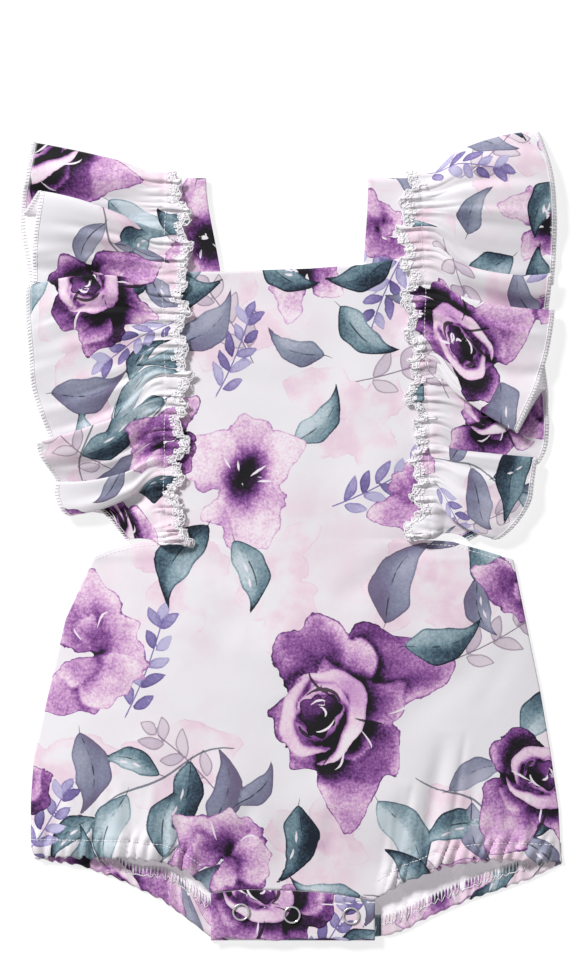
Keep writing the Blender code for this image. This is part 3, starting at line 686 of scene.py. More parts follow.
def stem_line(finish, under, name, wobble, half, over, strength=1.0):
    """Draws a stem where both of its sides are less than half its width away."""
    left, right = finish.attribute(f"{name}_left"), finish.attribute(f"{name}_right")
    across = (left + wobble).math("MAXIMUM", right - wobble)
    drawn = across.step(half + LINE_BLUR, half - LINE_BLUR) * strength
    return finish.mix(drawn, under, over)


def leaf_layer(finish, under, name, wobble, grain):
    """Lays the leaves, some of them mauve, with broken veins that run on as stalks."""
    painted, away = watercolour(finish, under, name, LEAF_STOPS, wobble, grain - 0.05, rim=0.36)
    mauve = finish.attribute(f"{name}_hue").step(0.62, 0.80) * away.step(0.1, -0.4) * 0.55
    painted = finish.mix(mauve, painted, LEAF_MAUVE)
    broken = finish.noise(7.0).step(0.40, 0.58) * 0.85
    seen = broken.math("MAXIMUM", away.step(-0.4, 0.4))
    return stem_line(finish, painted, f"{name}_stalk", wobble * 0.5, 0.42, LEAF_STOPS[-1][1],
                     seen)


# %% Print from its ground to its top
def print_colour(finish):
    """The whole print, from its ground to the leaves on top."""
    clouds = finish.noise(16.0, 3.0)
    ragged = clouds.step(0.50, 0.70) * 3.6 + 1.4
    wobble = (finish.noise(3.4, 3.0) - 0.5) * ragged
    fine = wobble * 0.42
    loose = wobble + (finish.noise(10.0, 2.0) - 0.5) * 7.0
    speckle = finish.noise(1.5, 4.0, 0.75) - 0.5
    grain = speckle * 0.85 + (clouds - 0.5) * 0.75
    blush = finish.attribute("blush") * finish.noise(20.0, 3.0).step(0.34, 0.72) * 0.8
    painted = finish.mix(blush, GROUND, BLUSH_COLOUR)
    pale, _ = watercolour(finish, painted, "bloom_2", PALE_STOPS, wobble * 1.6,
                          speckle * 0.4 + (clouds - 0.5) * 1.4 + 0.12, rim=0.26)
    painted = finish.mix(clouds.step(0.36, 0.58) * 0.85, painted, pale)
    twig, away = watercolour(finish, painted, "twig", TWIG_STOPS, fine, grain)
    edge = away.math("ABSOLUTE").step(0.5, 0.15) * 0.7
    painted = finish.mix(edge, twig, TWIG_LINE)
    painted = stem_line(finish, painted, "twig_stem", fine * 0.5, 0.30, TWIG_LINE)
    painted = stem_line(finish, painted, "branch", fine, 0.62, LEAF_STOPS[3][1], 0.8)
    painted = leaf_layer(finish, painted, "leaf_under", fine, grain)
    painted = stem_line(finish, painted, "sprig_stem", fine * 0.5, 0.36, SPRIG_STOPS[1][1])
    painted, _ = watercolour(finish, painted, "sprig", SPRIG_STOPS, fine, grain)
    for name in ("bloom_0", "bloom_1"):
        painted, _ = watercolour(finish, painted, name, PETAL_STOPS, loose, grain + 0.03)
    painted, _ = watercolour(finish, painted, "curl", PETAL_STOPS, wobble * 0.7, grain * 0.5,
                             0.16)
    painted, _ = watercolour(finish, painted, "heart", PETAL_STOPS, wobble, grain * 0.6, 0.15)
    painted = leaf_layer(finish, painted, "leaf_over", fine, grain)
    painted = stem_line(finish, painted, "ink", wobble * 0.5, 0.95, PETAL_STOPS[-1][1], 0.9)
    return stem_line(finish, painted, "spark", wobble * 0.35, 0.66, GAP_COLOUR)


# %% [markdown]
# ## Cotton, thread and nickel
#
# Thin cotton is matt, with a weave and tiny puckers that only bend the light, so they are
# kept in the finish and not in the mesh. Its wrong side shows the same print faintly,
# because the dye barely comes through, and gives off a faint painted glow that stands for
# light coming through from behind. Thread is white and a little shinier than the cloth. The
# snaps are plated with nickel: smooth metal, with painted light on top of the wire and
# painted shade at its flanks.

# %% Cotton
def cloth_relief(finish):
    """Weave and tiny puckers of thin cotton, in the finish's normals."""
    weave = finish.noise(0.45, 1.0) * 0.25
    pucker = finish.noise(7.0, 2.0)
    finish.bump(pucker + weave, 0.22, 0.55)


def printed_cloth():
    """The right side, with white thread painted where an edge is bound."""
    finish = Finish("printed_cotton", Roughness=0.74, Sheen_Weight=0.06,
                    Specular_IOR_Level=0.34)
    edge = finish.attribute("thread")
    finish.set("Base Color", finish.mix(edge, print_colour(finish), THREAD_COLOUR))
    cloth_relief(finish)
    return finish.material


# painted glow: the wrong side gives off a faint light of its own, standing for light that comes
# through from behind
PAINTED_GLOW = 0.16    # the faint glow of light that comes through from behind
DYE_HIDDEN = 0.86       # share of the print that stays on the right side


def cloth_inside():
    """The wrong side, which gives off a faint painted glow that stands for light from behind."""
    finish = Finish("cotton_reverse", Roughness=0.82, Sheen_Weight=0.08,
                    Emission_Strength=PAINTED_GLOW)
    finish.set("Base Color", finish.mix(DYE_HIDDEN, print_colour(finish), INSIDE_AND_GLOW_COLOUR))
    # the painted glow takes the wrong side's own colour
    finish.set("Emission Color", INSIDE_AND_GLOW_COLOUR)
    cloth_relief(finish)
    return finish.material


# %% Thread and nickel
THREAD_SHADE = colour(226, 222, 228)


def thread_finish():
    """White thread, a little greyer here and there."""
    finish = Finish("white_thread", Roughness=0.6, Sheen_Weight=0.2)
    shade = finish.noise(0.8, 1.0)
    finish.set("Base Color", finish.mix(shade * 0.4, THREAD_COLOUR, THREAD_SHADE))
    finish.bump(finish.noise(0.3, 1.0), 0.05, 0.5)
    return finish.material


# painted light and shade on the wire: painted shade below the first height, painted light above
# the second
PAINTED_SHADE_BELOW, PAINTED_LIGHT_ABOVE = 7.4, 7.8     # heights on the rings' wire
NICKEL_BRIGHT, NICKEL_GREY = colour(250, 249, 250), colour(228, 226, 229)
# painted shade for the wire's lower flanks
NICKEL_PAINTED_SHADE = colour(118, 113, 120)


def nickel_finish():
    """Nickel plate with painted light on top of the wire and painted shade lower down."""
    finish = Finish("nickel_plate", Metallic=0.72)
    plate = finish.mix(finish.noise(1.5), NICKEL_BRIGHT, NICKEL_GREY)
    # painted light and shade: the top of the wire is painted bright and its lower flanks dark, as
    # light falls on a round wire
    painted_top_light = finish.height().step(PAINTED_SHADE_BELOW, PAINTED_LIGHT_ABOVE)
    finish.set("Base Color", finish.mix(painted_top_light, NICKEL_PAINTED_SHADE, plate))
    finish.set("Roughness", 0.16 + finish.noise(2.0) * 0.12)
    finish.bump(finish.noise(0.6), 0.02, 0.4)
    return finish.material


# %% The four finishes
PRINT = printed_cloth()
REVERSE = cloth_inside()
THREAD = thread_finish()
NICKEL = nickel_finish()
print("print nodes:", len(PRINT.node_tree.nodes), "reverse:", len(REVERSE.node_tree.nodes))

# %% [markdown]
# ## A cloth from a grid
#
# Thin cotton with its dressing is about half a millimetre thick. A cloth simulation could
# drape each piece, but the folds would then fall where they like. So a piece is made from a
# grid of points through its middle, placed by its own formula. Two skins lie half the
# thickness to each side of it, and a rim joins them, so that hems have a real edge. The
# outer skin has the printed finish and the inner skin the reverse. An inner skin that lies
# hidden may keep only some of the rows.

# %% A mesh from points
def mesh_piece(name, points, faces, *finishes):
    """A smooth piece in the scene, from points in millimetres of the cutting plan."""
    mesh = bpy.data.meshes.new(name)
    mesh.from_pydata(((points - MIDDLE) * MM).tolist(), [], faces)
    for finish in finishes:
        mesh.materials.append(finish)
    mesh.update()
    mesh.shade_smooth()
    made = bpy.data.objects.new(name, mesh)
    bpy.context.collection.objects.link(made)
    return made


# %% Cloth shell
THICK = 0.5             # a single layer with its dressing
AT_END = 0.001          # a place stays this far from a grid's last row, in rows


class Shell:
    """A closed thin cloth over a grid of middle points (rows, columns, xyz)."""

    def __init__(self, name, middle, facing=1.0, inner_rows=None, thick=THICK):
        self.name, self.middle = name, middle
        self.inner_rows = np.arange(len(middle)) if inner_rows is None else inner_rows
        across = np.gradient(middle, axis=1)
        down = np.gradient(middle, axis=0)
        self.normal = unit(np.cross(down, across)) * facing
        outer = middle + self.normal * thick / 2
        inner = (middle - self.normal * thick / 2)[self.inner_rows]
        self.counts = (outer.shape[0] * outer.shape[1], inner.shape[0] * inner.shape[1])
        points = np.concatenate([outer.reshape(-1, 3), inner.reshape(-1, 3)])
        faces, sides = self.faces(outer.shape[:2], inner.shape[:2], facing)
        self.object = mesh_piece(name, points, faces, PRINT, REVERSE)
        self.object.data.polygons.foreach_set("material_index", sides)

    def faces(self, outer, inner, facing):
        """Quads of both skins and the faces of the rim, with each face's material."""
        near = self.quads(outer, 0)
        far = self.quads(inner, outer[0] * outer[1])[:, ::-1]
        top = np.arange(outer[0] * outer[1]).reshape(outer)
        low = np.arange(inner[0] * inner[1]).reshape(inner) + outer[0] * outer[1]
        low = low[np.searchsorted(self.inner_rows, np.arange(outer[0]), side="right") - 1]
        loops = [np.concatenate([grid[0, :-1], grid[:-1, -1], grid[-1, :0:-1], grid[:0:-1, 0]])
                 for grid in (top, low)]
        rim = []
        for a, b, c, d in zip(loops[0], np.roll(loops[0], -1), np.roll(loops[1], -1), loops[1]):
            rim.append((a, b, d) if c == d else (a, b, c, d))
        if facing < 0:
            near, far = near[:, ::-1], far[:, ::-1]
            rim = [face[::-1] for face in rim]
        faces = near.tolist() + far.tolist() + [list(map(int, face)) for face in rim]
        sides = [0] * len(near) + [1] * len(far) + [0] * len(rim)
        return faces, sides

    @staticmethod
    def quads(shape, first):
        """Faces of a grid of points, with the number of its first point."""
        grid = np.arange(shape[0] * shape[1]).reshape(shape) + first
        return np.stack([grid[:-1, :-1], grid[1:, :-1], grid[1:, 1:], grid[:-1, 1:]],
                        axis=-1).reshape(-1, 4)

    def attribute(self, name, values):
        """Stores a value for each grid point, on both skins."""
        grid = values.reshape(self.middle.shape[:2])
        both = np.concatenate([grid.ravel(), grid[self.inner_rows].ravel()])
        made = self.object.data.attributes.new(name, "FLOAT", "POINT")
        made.data.foreach_set("value", both.astype(np.float32))

    def paint(self, s, t):
        """Stores the print at cloth places (s, t)."""
        for name, values in printed_layers(s, t).items():
            self.attribute(name, values)

    def at(self, row, column, lift=0.0):
        """Points at places between the grid's, lifted off the middle."""
        rows, columns = self.middle.shape[:2]
        row, column = np.broadcast_arrays(np.clip(row, 0, rows - 1 - AT_END),
                                          np.clip(column, 0, columns - 1 - AT_END))
        r, c = row.astype(int), column.astype(int)
        fr, fc = (row - r)[..., None], (column - c)[..., None]
        mixed = []
        for grid in (self.middle, self.normal):
            top = grid[r, c] * (1 - fc) + grid[r, c + 1] * fc
            low = grid[r + 1, c] * (1 - fc) + grid[r + 1, c + 1] * fc
            mixed.append(top * (1 - fr) + low * fr)
        return mixed[0] + unit(mixed[1]) * np.asarray(lift)[..., None]


# %% Dressing a piece
def dress(piece, slot, *nodes):
    """Rides a piece on the one body and hides the imported parts that it stands for; slot is not
    used.
    """
    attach(piece, "root")
    if nodes:
        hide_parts(*nodes)


# %% [markdown]
# ## Threads
#
# Thread is a thin round tube. Curve objects with a bevel could make it, but thousands of
# them are slow. One function sweeps a tube along many short paths at once and joins them
# into one mesh, which keeps thousands of stitches light.

# %% Thread tubes
NEARLY_UP = (0.03, 0.02, 1.0)       # no thread runs this way, so its sides can be found
TUBE_SIDES = 4                      # enough for a thread, with its shading smoothed


def tubes(name, paths, radius):
    """One mesh of closed tubes along paths: a list of arrays of points."""
    points, faces = [], []
    first = 0
    turns = 2.0 * np.pi * np.arange(TUBE_SIDES) / TUBE_SIDES
    for path in paths:
        path[:, 2] = np.maximum(path[:, 2], radius)     # nothing sinks into the table
        run = unit(np.gradient(path, axis=0))
        across = unit(np.cross(run, NEARLY_UP))
        up = np.cross(across, run)
        ring = (np.cos(turns)[None, :, None] * across[:, None]
                + np.sin(turns)[None, :, None] * up[:, None]) * radius
        count = len(path)
        points.append((path[:, None] + ring).reshape(-1, 3))
        points.append(path[[0, -1]])
        base = np.arange(count * TUBE_SIDES).reshape(count, TUBE_SIDES) + first
        following = np.roll(base, -1, axis=1)
        faces.append(np.stack([base[:-1], following[:-1], following[1:], base[1:]],
                              axis=-1).reshape(-1, 4))
        tips = first + count * TUBE_SIDES
        for end, tip, turn in ((0, tips, 1), (-1, tips + 1, -1)):
            fan = np.stack([base[end], np.full(TUBE_SIDES, tip), following[end]], axis=-1)
            faces.append(fan[:, ::turn])
        first += count * TUBE_SIDES + 2
    faces = [face for group in faces for face in group.tolist()]
    return mesh_piece(name, np.concatenate(points), faces, THREAD)


# %% Places along a line
def run_length(points):
    """Length along a line of points at each of them."""
    steps = np.linalg.norm(np.diff(points, axis=0), axis=1)
    return np.concatenate([[0.0], np.cumsum(steps)])


def even_places(points, spacing):
    """Places along a line of points, evenly spaced, as fractions of its index."""
    length = run_length(points)
    count = max(2, int(round(length[-1] / spacing)))
    wanted = np.linspace(0, length[-1], count + 1)
    return np.interp(wanted, length, np.arange(len(points)))


def points_at(line, places):
    """Points at places of a line, on its straight runs."""
    return np.stack([np.interp(places, np.arange(len(line)), line[:, k])
                     for k in range(line.shape[1])], axis=-1)


def resample(path, spacing):
    """Points evenly spaced along a path of straight runs."""
    path = np.array(path, float)
    return points_at(path, even_places(path, spacing))


print("a 10 mm line in steps of 3:", even_places(np.array(((0.0, 0.0), (10.0, 0.0))), 3.0))

# %% [markdown]
# ## Front
#
# The bib and the front of the shorts are one piece. It bulges a little over the back, and is
# drawn into small pleats where elastic runs in the leg hems. The pleats puff up between
# narrow valleys and lean to the right as they rise, because the garment was pulled straight
# by hand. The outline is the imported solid's, with finer gathers and creases on it.

# %% Front outline
CLOTH = 1.0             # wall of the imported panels, with their seams

# The neckline and the hem are outlines of (x, y), the armholes and the seams of (y, x).
BIB_LEFT, BIB_RIGHT = -68.0, 72.0
NECKLINE = ((-68, 140), (-36, 140.5), (10, 142), (38, 144), (58, 147.5), (72, 149))
LEFT_ARMHOLE = ((-2, -68), (-3.5, -82), (-7, -96), (-10.5, -104))
RIGHT_ARMHOLE = ((-2, 72), (-3, 86), (-7.5, 102), (-12.5, 118))
LEFT_SEAM = ((-170, -136), (-163, -138), (-140, -138), (-118, -136.5), (-87, -129.5),
             (-44, -119.5), (-10.5, -104))
RIGHT_SEAM = ((-173, 144), (-166, 143), (-145, 142), (-113, 137.5), (-81, 132),
              (-47, 125), (-12.5, 118))
LEFT_SIDE, RIGHT_SIDE = (LEFT_ARMHOLE, LEFT_SEAM), (RIGHT_ARMHOLE, RIGHT_SEAM)
CHEST = LEFT_ARMHOLE[0][0]      # y where the bib ends and the armholes start
FRONT_HEM = ((-136, -170), (-110, -170), (-85, -170.5), (-67, -172.5), (-56, -177),
             (-47, -184), (-43, -189), (-24, -187), (0, -187.5), (21, -189), (44, -193),
             (48, -190), (60, -183), (71, -179), (79, -175.5), (95, -172.5),
             (116, -171.5), (144, -173))
print("bib wide:", BIB_RIGHT - BIB_LEFT, "shorts:", RIGHT_SEAM[0][1] - LEFT_SEAM[0][1])

# %% Front levels
BIB_LEVEL, TAB_LEVEL = 4.8, 5.5

# A lift: how high the panel's edges lie at a y, and how much higher its middle.
Lift = namedtuple("Lift", "y edge crown")
FRONT_LIFT = (Lift(-175, 1.3, 8.4), Lift(-150, 1.3, 8.8), Lift(-110, 1.3, 9.0),
              Lift(-50, 1.3, 8.0), Lift(-14, 1.5, 5.8), Lift(4, 4.5, 2.2),
              Lift(60, BIB_LEVEL, 0.5), Lift(150, BIB_LEVEL - 0.4, 0.2))
BAND_LEFT, BAND_RIGHT = -42.5, 44.5
BAND_PULL = (-135.0, -184.0)        # where the front is drawn to the crotch band's level
print("highest crown over the edge:", max(lift.crown for lift in FRONT_LIFT))

# %% Front folds and creases
# A soft fold or crease: a line from start to end, its height (below 0 for a trough) and
# its half width.
Fold = namedtuple("Fold", "x0 y0 x1 y1 height spread")
FRONT_FOLDS = (Fold(79, -160, 91, -100, 1.4, 9), Fold(60, -168, 68, -128, 1.1, 8),
               Fold(-117, -160, -116, -96, 1.0, 9), Fold(-20, -180, -12, -135, 1.2, 9),
               Fold(104, -30, 84, -74, 1.0, 10), Fold(-92, -24, -74, -70, 1.0, 10))
FRONT_CREASES = (Fold(84, -162, 93, -102, -1.1, 1.9), Fold(57, -170, 65, -128, -0.7, 1.8),
                 Fold(-98, -164, -95, -124, -0.6, 1.8), Fold(-27, -184, -20, -150, -0.8, 1.8),
                 Fold(70, -168, 82, -104, -1.9, 5.0), Fold(91, -166, 99, -118, -1.5, 4.5),
                 Fold(111, -164, 116, -126, -1.2, 4), Fold(128, -162, 127, -124, -1.1, 4),
                 Fold(49, -182, 62, -132, -1.7, 5), Fold(-104, -164, -103, -112, -1.4, 5),
                 Fold(-125, -162, -124, -122, -1.2, 4), Fold(-86, -164, -84, -130, -1.0, 4),
                 Fold(-60, -172, -57, -132, -1.2, 4.5), Fold(-31, -184, -22, -140, -1.6, 5),
                 Fold(-8, -186, -1, -146, -1.0, 4.5), Fold(19, -186, 22, -142, -1.0, 4.5),
                 Fold(113, -22, 88, -70, -1.3, 6), Fold(124, -50, 98, -96, -0.9, 6),
                 Fold(-100, -18, -76, -62, -1.2, 6), Fold(-114, -46, -92, -92, -0.9, 6),
                 Fold(-62, -4, -18, -30, -1.1, 7), Fold(68, -4, 22, -36, -1.1, 7),
                 Fold(-60, 122, -50, 60, -0.7, 7), Fold(52, 132, 60, 84, -0.7, 7),
                 Fold(-34, 134, 10, 116, -0.5, 7), Fold(-64, 34, -34, 6, -0.9, 6),
                 Fold(68, 44, 44, 10, -0.9, 6), Fold(-26, -58, 24, -74, 0.7, 10),
                 Fold(-40, 86, 26, 74, -0.45, 9), Fold(-84, -84, -40, -120, -0.8, 9),
                 Fold(96, -70, 52, -104, -0.8, 9), Fold(14, -120, -6, -84, -0.7, 9))
FOLDS_FROM = (0.0, -25.0)       # the large folds grow in below the armholes
CREASE_DEPTH = 1.75     # strength of the creases in the table above
UNDULATION = 0.6        # height of the slow unevenness
FAR_FROM_HEM = 200.0    # stands for the distance to the leg hems on the bib
print("folds and creases:", len(FRONT_FOLDS), len(FRONT_CREASES))


# %% Uneven folds and gathers
def side(y, outline):
    """X of one side edge: along the bib, then the armhole's hem, then the side seam."""
    armhole, seam = outline
    lower = np.where(y > seam[-1][0], along(sorted(armhole), y), along(seam, y))
    return np.where(y > armhole[0][0], armhole[0][1], lower)


def folds_at(x, y, folds):
    """Height that soft folds and creases add at points."""
    total = np.zeros_like(x)
    for fold in folds:
        run = np.array((fold.x1 - fold.x0, fold.y1 - fold.y0))
        t = ((x - fold.x0) * run[0] + (y - fold.y0) * run[1]) / (run @ run)
        t = np.clip(t, 0.0, 1.0)
        gap = np.hypot(x - fold.x0 - t * run[0], y - fold.y0 - t * run[1])
        fade = (1.0 - 0.5 * t) * (1.0 - t ** 6)
        total += fold.height * fade * np.exp(-(gap / fold.spread) ** 2)
    return total


def uneven(distance, pitch):
    """Wave of gathers with no two alike, from -1 to 1."""
    turn = 2.0 * np.pi * distance / pitch
    turn = turn + 0.9 * np.sin(0.31 * turn + 1.0) + 0.4 * np.sin(0.73 * turn)
    small = 0.28 * np.sin(2.0 * turn + 0.5 * np.sin(0.41 * turn))
    return (np.sin(turn) + small) * (0.72 + 0.28 * np.sin(0.23 * turn + 2.0)) / 1.2


def soft_waves(x, y):
    """The slow unevenness of cloth that was smoothed by hand, from about -1 to 1."""
    bent = x + 9.0 * np.sin(y / 31.0 + 1.0)
    low = y + 11.0 * np.sin(x / 37.0)
    waves = np.sin(bent / 7.4 + 0.6 * np.sin(y / 17.0)) * np.sin(low / 26.0 + 0.5)
    waves = waves + 0.7 * np.sin(low / 9.0 - bent / 19.0) * np.sin(bent / 23.0)
    return 0.6 * waves + 0.5 * np.sin(bent / 15.0 + low / 33.0 + 2.0)


# %% Gathered leg hems
CASING_WIDTH, CASING_FADE = 9.0, 30.0       # the elastic's channel, and how far gathers run
CASING_PUFF = 1.0       # how far the channel stands up over its elastic
CHANNEL_DEPTH, CHANNEL_WIDTH = 0.7, 1.1     # of the valley along the row of stitches
LEG_PITCH, LEG_END, GATHER_FADE = 6.2, 138.0, 10.0
WIDE_PITCH = 2.3 * LEG_PITCH                # of the folds that run on above the pleats
LEG_GATHER = 2.8
HEM_SCALLOP = 1.5       # how far the gathers draw the hem's edge up and down
PLEAT_SLANT = ((-140, 0.3), (140, 0.6))     # how far a pleat leans to the right as it rises


def leg_weight(x):
    """1 along the leg openings, 0 at the crotch band and at the side seams."""
    inside = ramp(BAND_RIGHT, BAND_RIGHT + GATHER_FADE, np.abs(x))
    return inside * (1.0 - ramp(LEG_END - GATHER_FADE / 2, LEG_END + 4.0, np.abs(x)))


print("gathers from the band to the seam:", leg_weight(np.array((40.0, 50.0, 90.0, 140.0))))

# %% Front's lower face
def front_level(x, y):
    """Lower face of the front panel, without the gathers of its hems."""
    left, right = side(y, LEFT_SIDE), side(y, RIGHT_SIDE)
    across = np.minimum(np.abs(2.0 * x - left - right) / (right - left), 1.0)
    edge = along([(lift.y, lift.edge) for lift in FRONT_LIFT], y)
    crown = along([(lift.y, lift.crown) for lift in FRONT_LIFT], y)
    inside = 1.0 - across ** 3
    folds = folds_at(x, y, FRONT_FOLDS) * ramp(*FOLDS_FROM, y)
    folds = folds + CREASE_DEPTH * folds_at(x, y, FRONT_CREASES)
    level = edge + crown * inside + folds * inside
    to_band = (1.0 - ramp(BAND_RIGHT, 2.0 * BAND_RIGHT, np.abs(x))) * ramp(*BAND_PULL, y)
    level = level + UNDULATION * soft_waves(x, y) * inside
    return level + (TAB_LEVEL - level) * to_band


# %% Front with its gathered hems
def gathers(hem_x, hem_distance):
    """Height of the leg's gathers, from about -1 to 1, with the wave that scallops the hem."""
    slant = along(PLEAT_SLANT, hem_x)
    wave = uneven(hem_x - slant * hem_distance, LEG_PITCH)
    puffed = 2.0 * np.sqrt(np.clip(0.52 + 0.5 * wave, 0.0, 1.0)) - 1.0
    wide = uneven(hem_x - 0.3 * slant * hem_distance + 9.0, WIDE_PITCH)
    at_hem = 1.0 - ramp(CASING_WIDTH, 0.6 * CASING_FADE, hem_distance)
    on_casing = 1.0 - ramp(0.0, 5.0, hem_distance - CASING_WIDTH)
    above = 1.0 - ramp(CASING_WIDTH, CASING_FADE * (1.2 + 0.5 * wide), hem_distance)
    pleats = 0.62 * at_hem + 0.38 * on_casing
    return (puffed + 0.2) * pleats + (wide + 0.2) * (0.45 * above), wave


# How far down the sides a row's ends lie, in shares: rows are close together in the armholes.
ROW_ENDS = ((0.0, 0.0), (0.03, 0.012), (0.06, 0.03), (0.10, 0.05), (0.2, 0.15), (0.36, 0.36),
            (1.0, 1.0))


def front_middle(u, v):
    """Middle of the front's cloth: v is 0 at the neckline, 1 at the armholes, 2 at the hem."""
    x_bib = BIB_LEFT + u * (BIB_RIGHT - BIB_LEFT)
    y_bib = along(NECKLINE, x_bib) + v * (CHEST - along(NECKLINE, x_bib))
    ends = along(ROW_ENDS, v - 1.0)
    left = side(CHEST + ends * (LEFT_SEAM[0][0] - CHEST), LEFT_SIDE)
    right = side(CHEST + ends * (RIGHT_SEAM[0][0] - CHEST), RIGHT_SIDE)
    x_low = left + u * (right - left)
    down = ends + (v - 1.0 - ends) * (1.0 - np.abs(2.0 * u - 1.0) ** 3)
    drop = (1.0 - down) * (CHEST - along(FRONT_HEM, x_low))
    on_bib = v <= 1.0
    x = np.where(on_bib, x_bib, x_low)
    y = np.where(on_bib, y_bib, along(FRONT_HEM, x_low) + drop)
    hem_distance = np.where(on_bib, FAR_FROM_HEM, drop)
    z = front_level(x, y)
    hem_x = LEFT_SEAM[0][1] + u * (RIGHT_SEAM[0][1] - LEFT_SEAM[0][1])
    raised, wave = gathers(hem_x, hem_distance)
    legs = leg_weight(x)
    z = z + LEG_GATHER * raised * legs
    channel = np.exp(-((hem_distance - CASING_WIDTH) / CHANNEL_WIDTH) ** 2) * legs
    puff = np.sin(np.pi * np.clip(hem_distance / CASING_WIDTH, 0.0, 1.0)) * legs
    z = z + CLOTH / 2 + CASING_PUFF * puff - CHANNEL_DEPTH * channel
    y = y + HEM_SCALLOP * wave * legs * (1.0 - ramp(0.0, 5.0, hem_distance))
    return np.stack([x, y, z], axis=-1)


# %% Front piece
BIB_ROWS, SHORTS_ROWS, FRONT_COLUMNS = 96, 134, 273
HEM_ROWS = 38           # near the hem, where the inner skin keeps every row
SPARED = 3              # above them it keeps one row in so many
FRONT_THICK = 0.6

bib_v, shorts_v = np.linspace(0, 1, BIB_ROWS + 1), np.linspace(1, 2, SHORTS_ROWS + 1)
v_front = np.concatenate([bib_v, shorts_v[1:]])
u_front, v_front = np.meshgrid(np.linspace(0, 1, FRONT_COLUMNS), v_front)
hem_start = BIB_ROWS + SHORTS_ROWS - HEM_ROWS
inner_rows = np.concatenate([np.arange(0, hem_start, SPARED), np.arange(hem_start, len(v_front))])
front = Shell("front_cloth", front_middle(u_front, v_front), inner_rows=inner_rows,
              thick=FRONT_THICK)
front.paint(front.middle[..., 0], front.middle[..., 1])
dress(front.object, "print", "front_panel")
print("front points:", front.counts)

# %% [markdown]
# ## Back
#
# The back lies flat under the front. Its waist is drawn up on elastic between the side
# seams. At each leg the hem is turned to the inside round its elastic, so the turned band
# shows the printed side, and its raw edge is serged. The turned band could be a piece of its
# own, but it is the same cloth, so the grid runs down the outside, round the hem's fold and
# back up on the inside.

# %% Back sizes
BACK_HEM = ((-136, -171), (-112, -174.5), (-91, -182), (-69, -192.5), (-54, -203.5),
            (-43, -212.5), (44, -212.5), (51, -212), (61, -208.5), (71, -203), (82, -198),
            (95, -192.5), (110, -187.5), (126, -182), (143, -174))
BACK_WAIST = ((-104, -11), (-68, -5), (0, -4), (72, -5), (118, -13))
BACK_LOW = 0.32         # middle of the cloth that lies on the floor
HEM_TURN = 0.45         # radius of the hem's fold
TURNED_WIDTH = 11.5
BACK_GATHER = 0.7
BACK_PUFF = (8.0, 24.0)     # the casings' fulness fades between these distances
BACK_CUT = (45.0, 47.0)     # place in the printed cloth that the back is cut from
WIDER = 0.7                 # how much wider the turned hem gets on the band's left
WIDER_START, WIDER_END = (-86.0, -60.0), (-36.0, -44.0)     # x over which it comes and goes
WAIST_PITCH, WAIST_END = 7.2, 108.0
SERGED = (TURNED_WIDTH - 1.4, TURNED_WIDTH - 0.6)   # where thread hides the print
BACK_FOLDS = (Fold(92, -186, 82, -160, 1.0, 4), Fold(112, -182, 106, -158, 0.9, 4),
              Fold(76, -196, 62, -168, 0.9, 4), Fold(-56, -190, -48, -168, 1.1, 3.5),
              Fold(-84, -180, -76, -158, 0.9, 4), Fold(-106, -174, -100, -156, 0.8, 4),
              Fold(128, -176, 124, -156, 0.8, 4), Fold(-30, -60, 24, -84, 0.5, 8),
              Fold(-70, -40, -40, -66, 0.5, 7), Fold(80, -44, 54, -74, 0.5, 7),
              Fold(-10, -150, 6, -110, 0.5, 7), Fold(60, -130, 48, -96, 0.5, 6))
print("back folds:", len(BACK_FOLDS))


# %% Back shape
def back_middle(u, v, turned):
    """Middle of the back's cloth: v is 0 at the waist, 1 at the hem; turned is in mm."""
    waist_x = BACK_WAIST[0][0] + u * (BACK_WAIST[-1][0] - BACK_WAIST[0][0])
    hem_x = BACK_HEM[0][0] + u * (BACK_HEM[-1][0] - BACK_HEM[0][0])
    waist_y = along(BACK_WAIST, waist_x)
    mid_y = waist_y + v * (LEFT_SEAM[0][0] - waist_y)
    left, right = along(LEFT_SEAM, mid_y), along(RIGHT_SEAM, mid_y)
    x = left + u * (right - left)
    hem_y = along(BACK_HEM, x)
    y = waist_y + v * (hem_y - waist_y)
    hem_distance = np.where(turned > 0.0, turned, y - hem_y)
    legs = leg_weight(x)
    leg_wave = uneven(hem_x + 40.0, LEG_PITCH)
    leg = (1.0 - ramp(CASING_WIDTH, CASING_FADE, hem_distance)) * legs * leg_wave
    waist_inside = 1.0 - ramp(WAIST_END - GATHER_FADE, WAIST_END, np.abs(x))
    waist = 1.0 - ramp(CASING_WIDTH, 1.6 * CASING_FADE, waist_y - y)
    waist = waist * waist_inside * uneven(waist_x, WAIST_PITCH)
    leg_puff = legs * (1.0 - ramp(*BACK_PUFF, hem_distance))
    waist_puff = waist_inside * (1.0 - ramp(*BACK_PUFF, waist_y - y))
    lift = BACK_GATHER * (leg + waist + np.maximum(leg_puff, waist_puff))
    lift = lift + folds_at(x, y, BACK_FOLDS) * ramp(2.0, 9.0, hem_distance)
    scallop = 0.9 * leg_wave * legs * (1.0 - ramp(0.0, 6.0, hem_distance))
    y = np.where(turned > 0.0, hem_y + turned, y) + scallop
    z = BACK_LOW + np.maximum(lift, 0.0)
    z = z + np.where(turned > 0.0, 2.0 * HEM_TURN, 0.0)
    return np.stack([x, y, z], axis=-1), hem_y


# %% Back piece
BACK_ROWS, BACK_COLUMNS, TURNED_ROWS = 118, 241, 12
TURN_START = 0.6        # the first turned row's distance from the fold

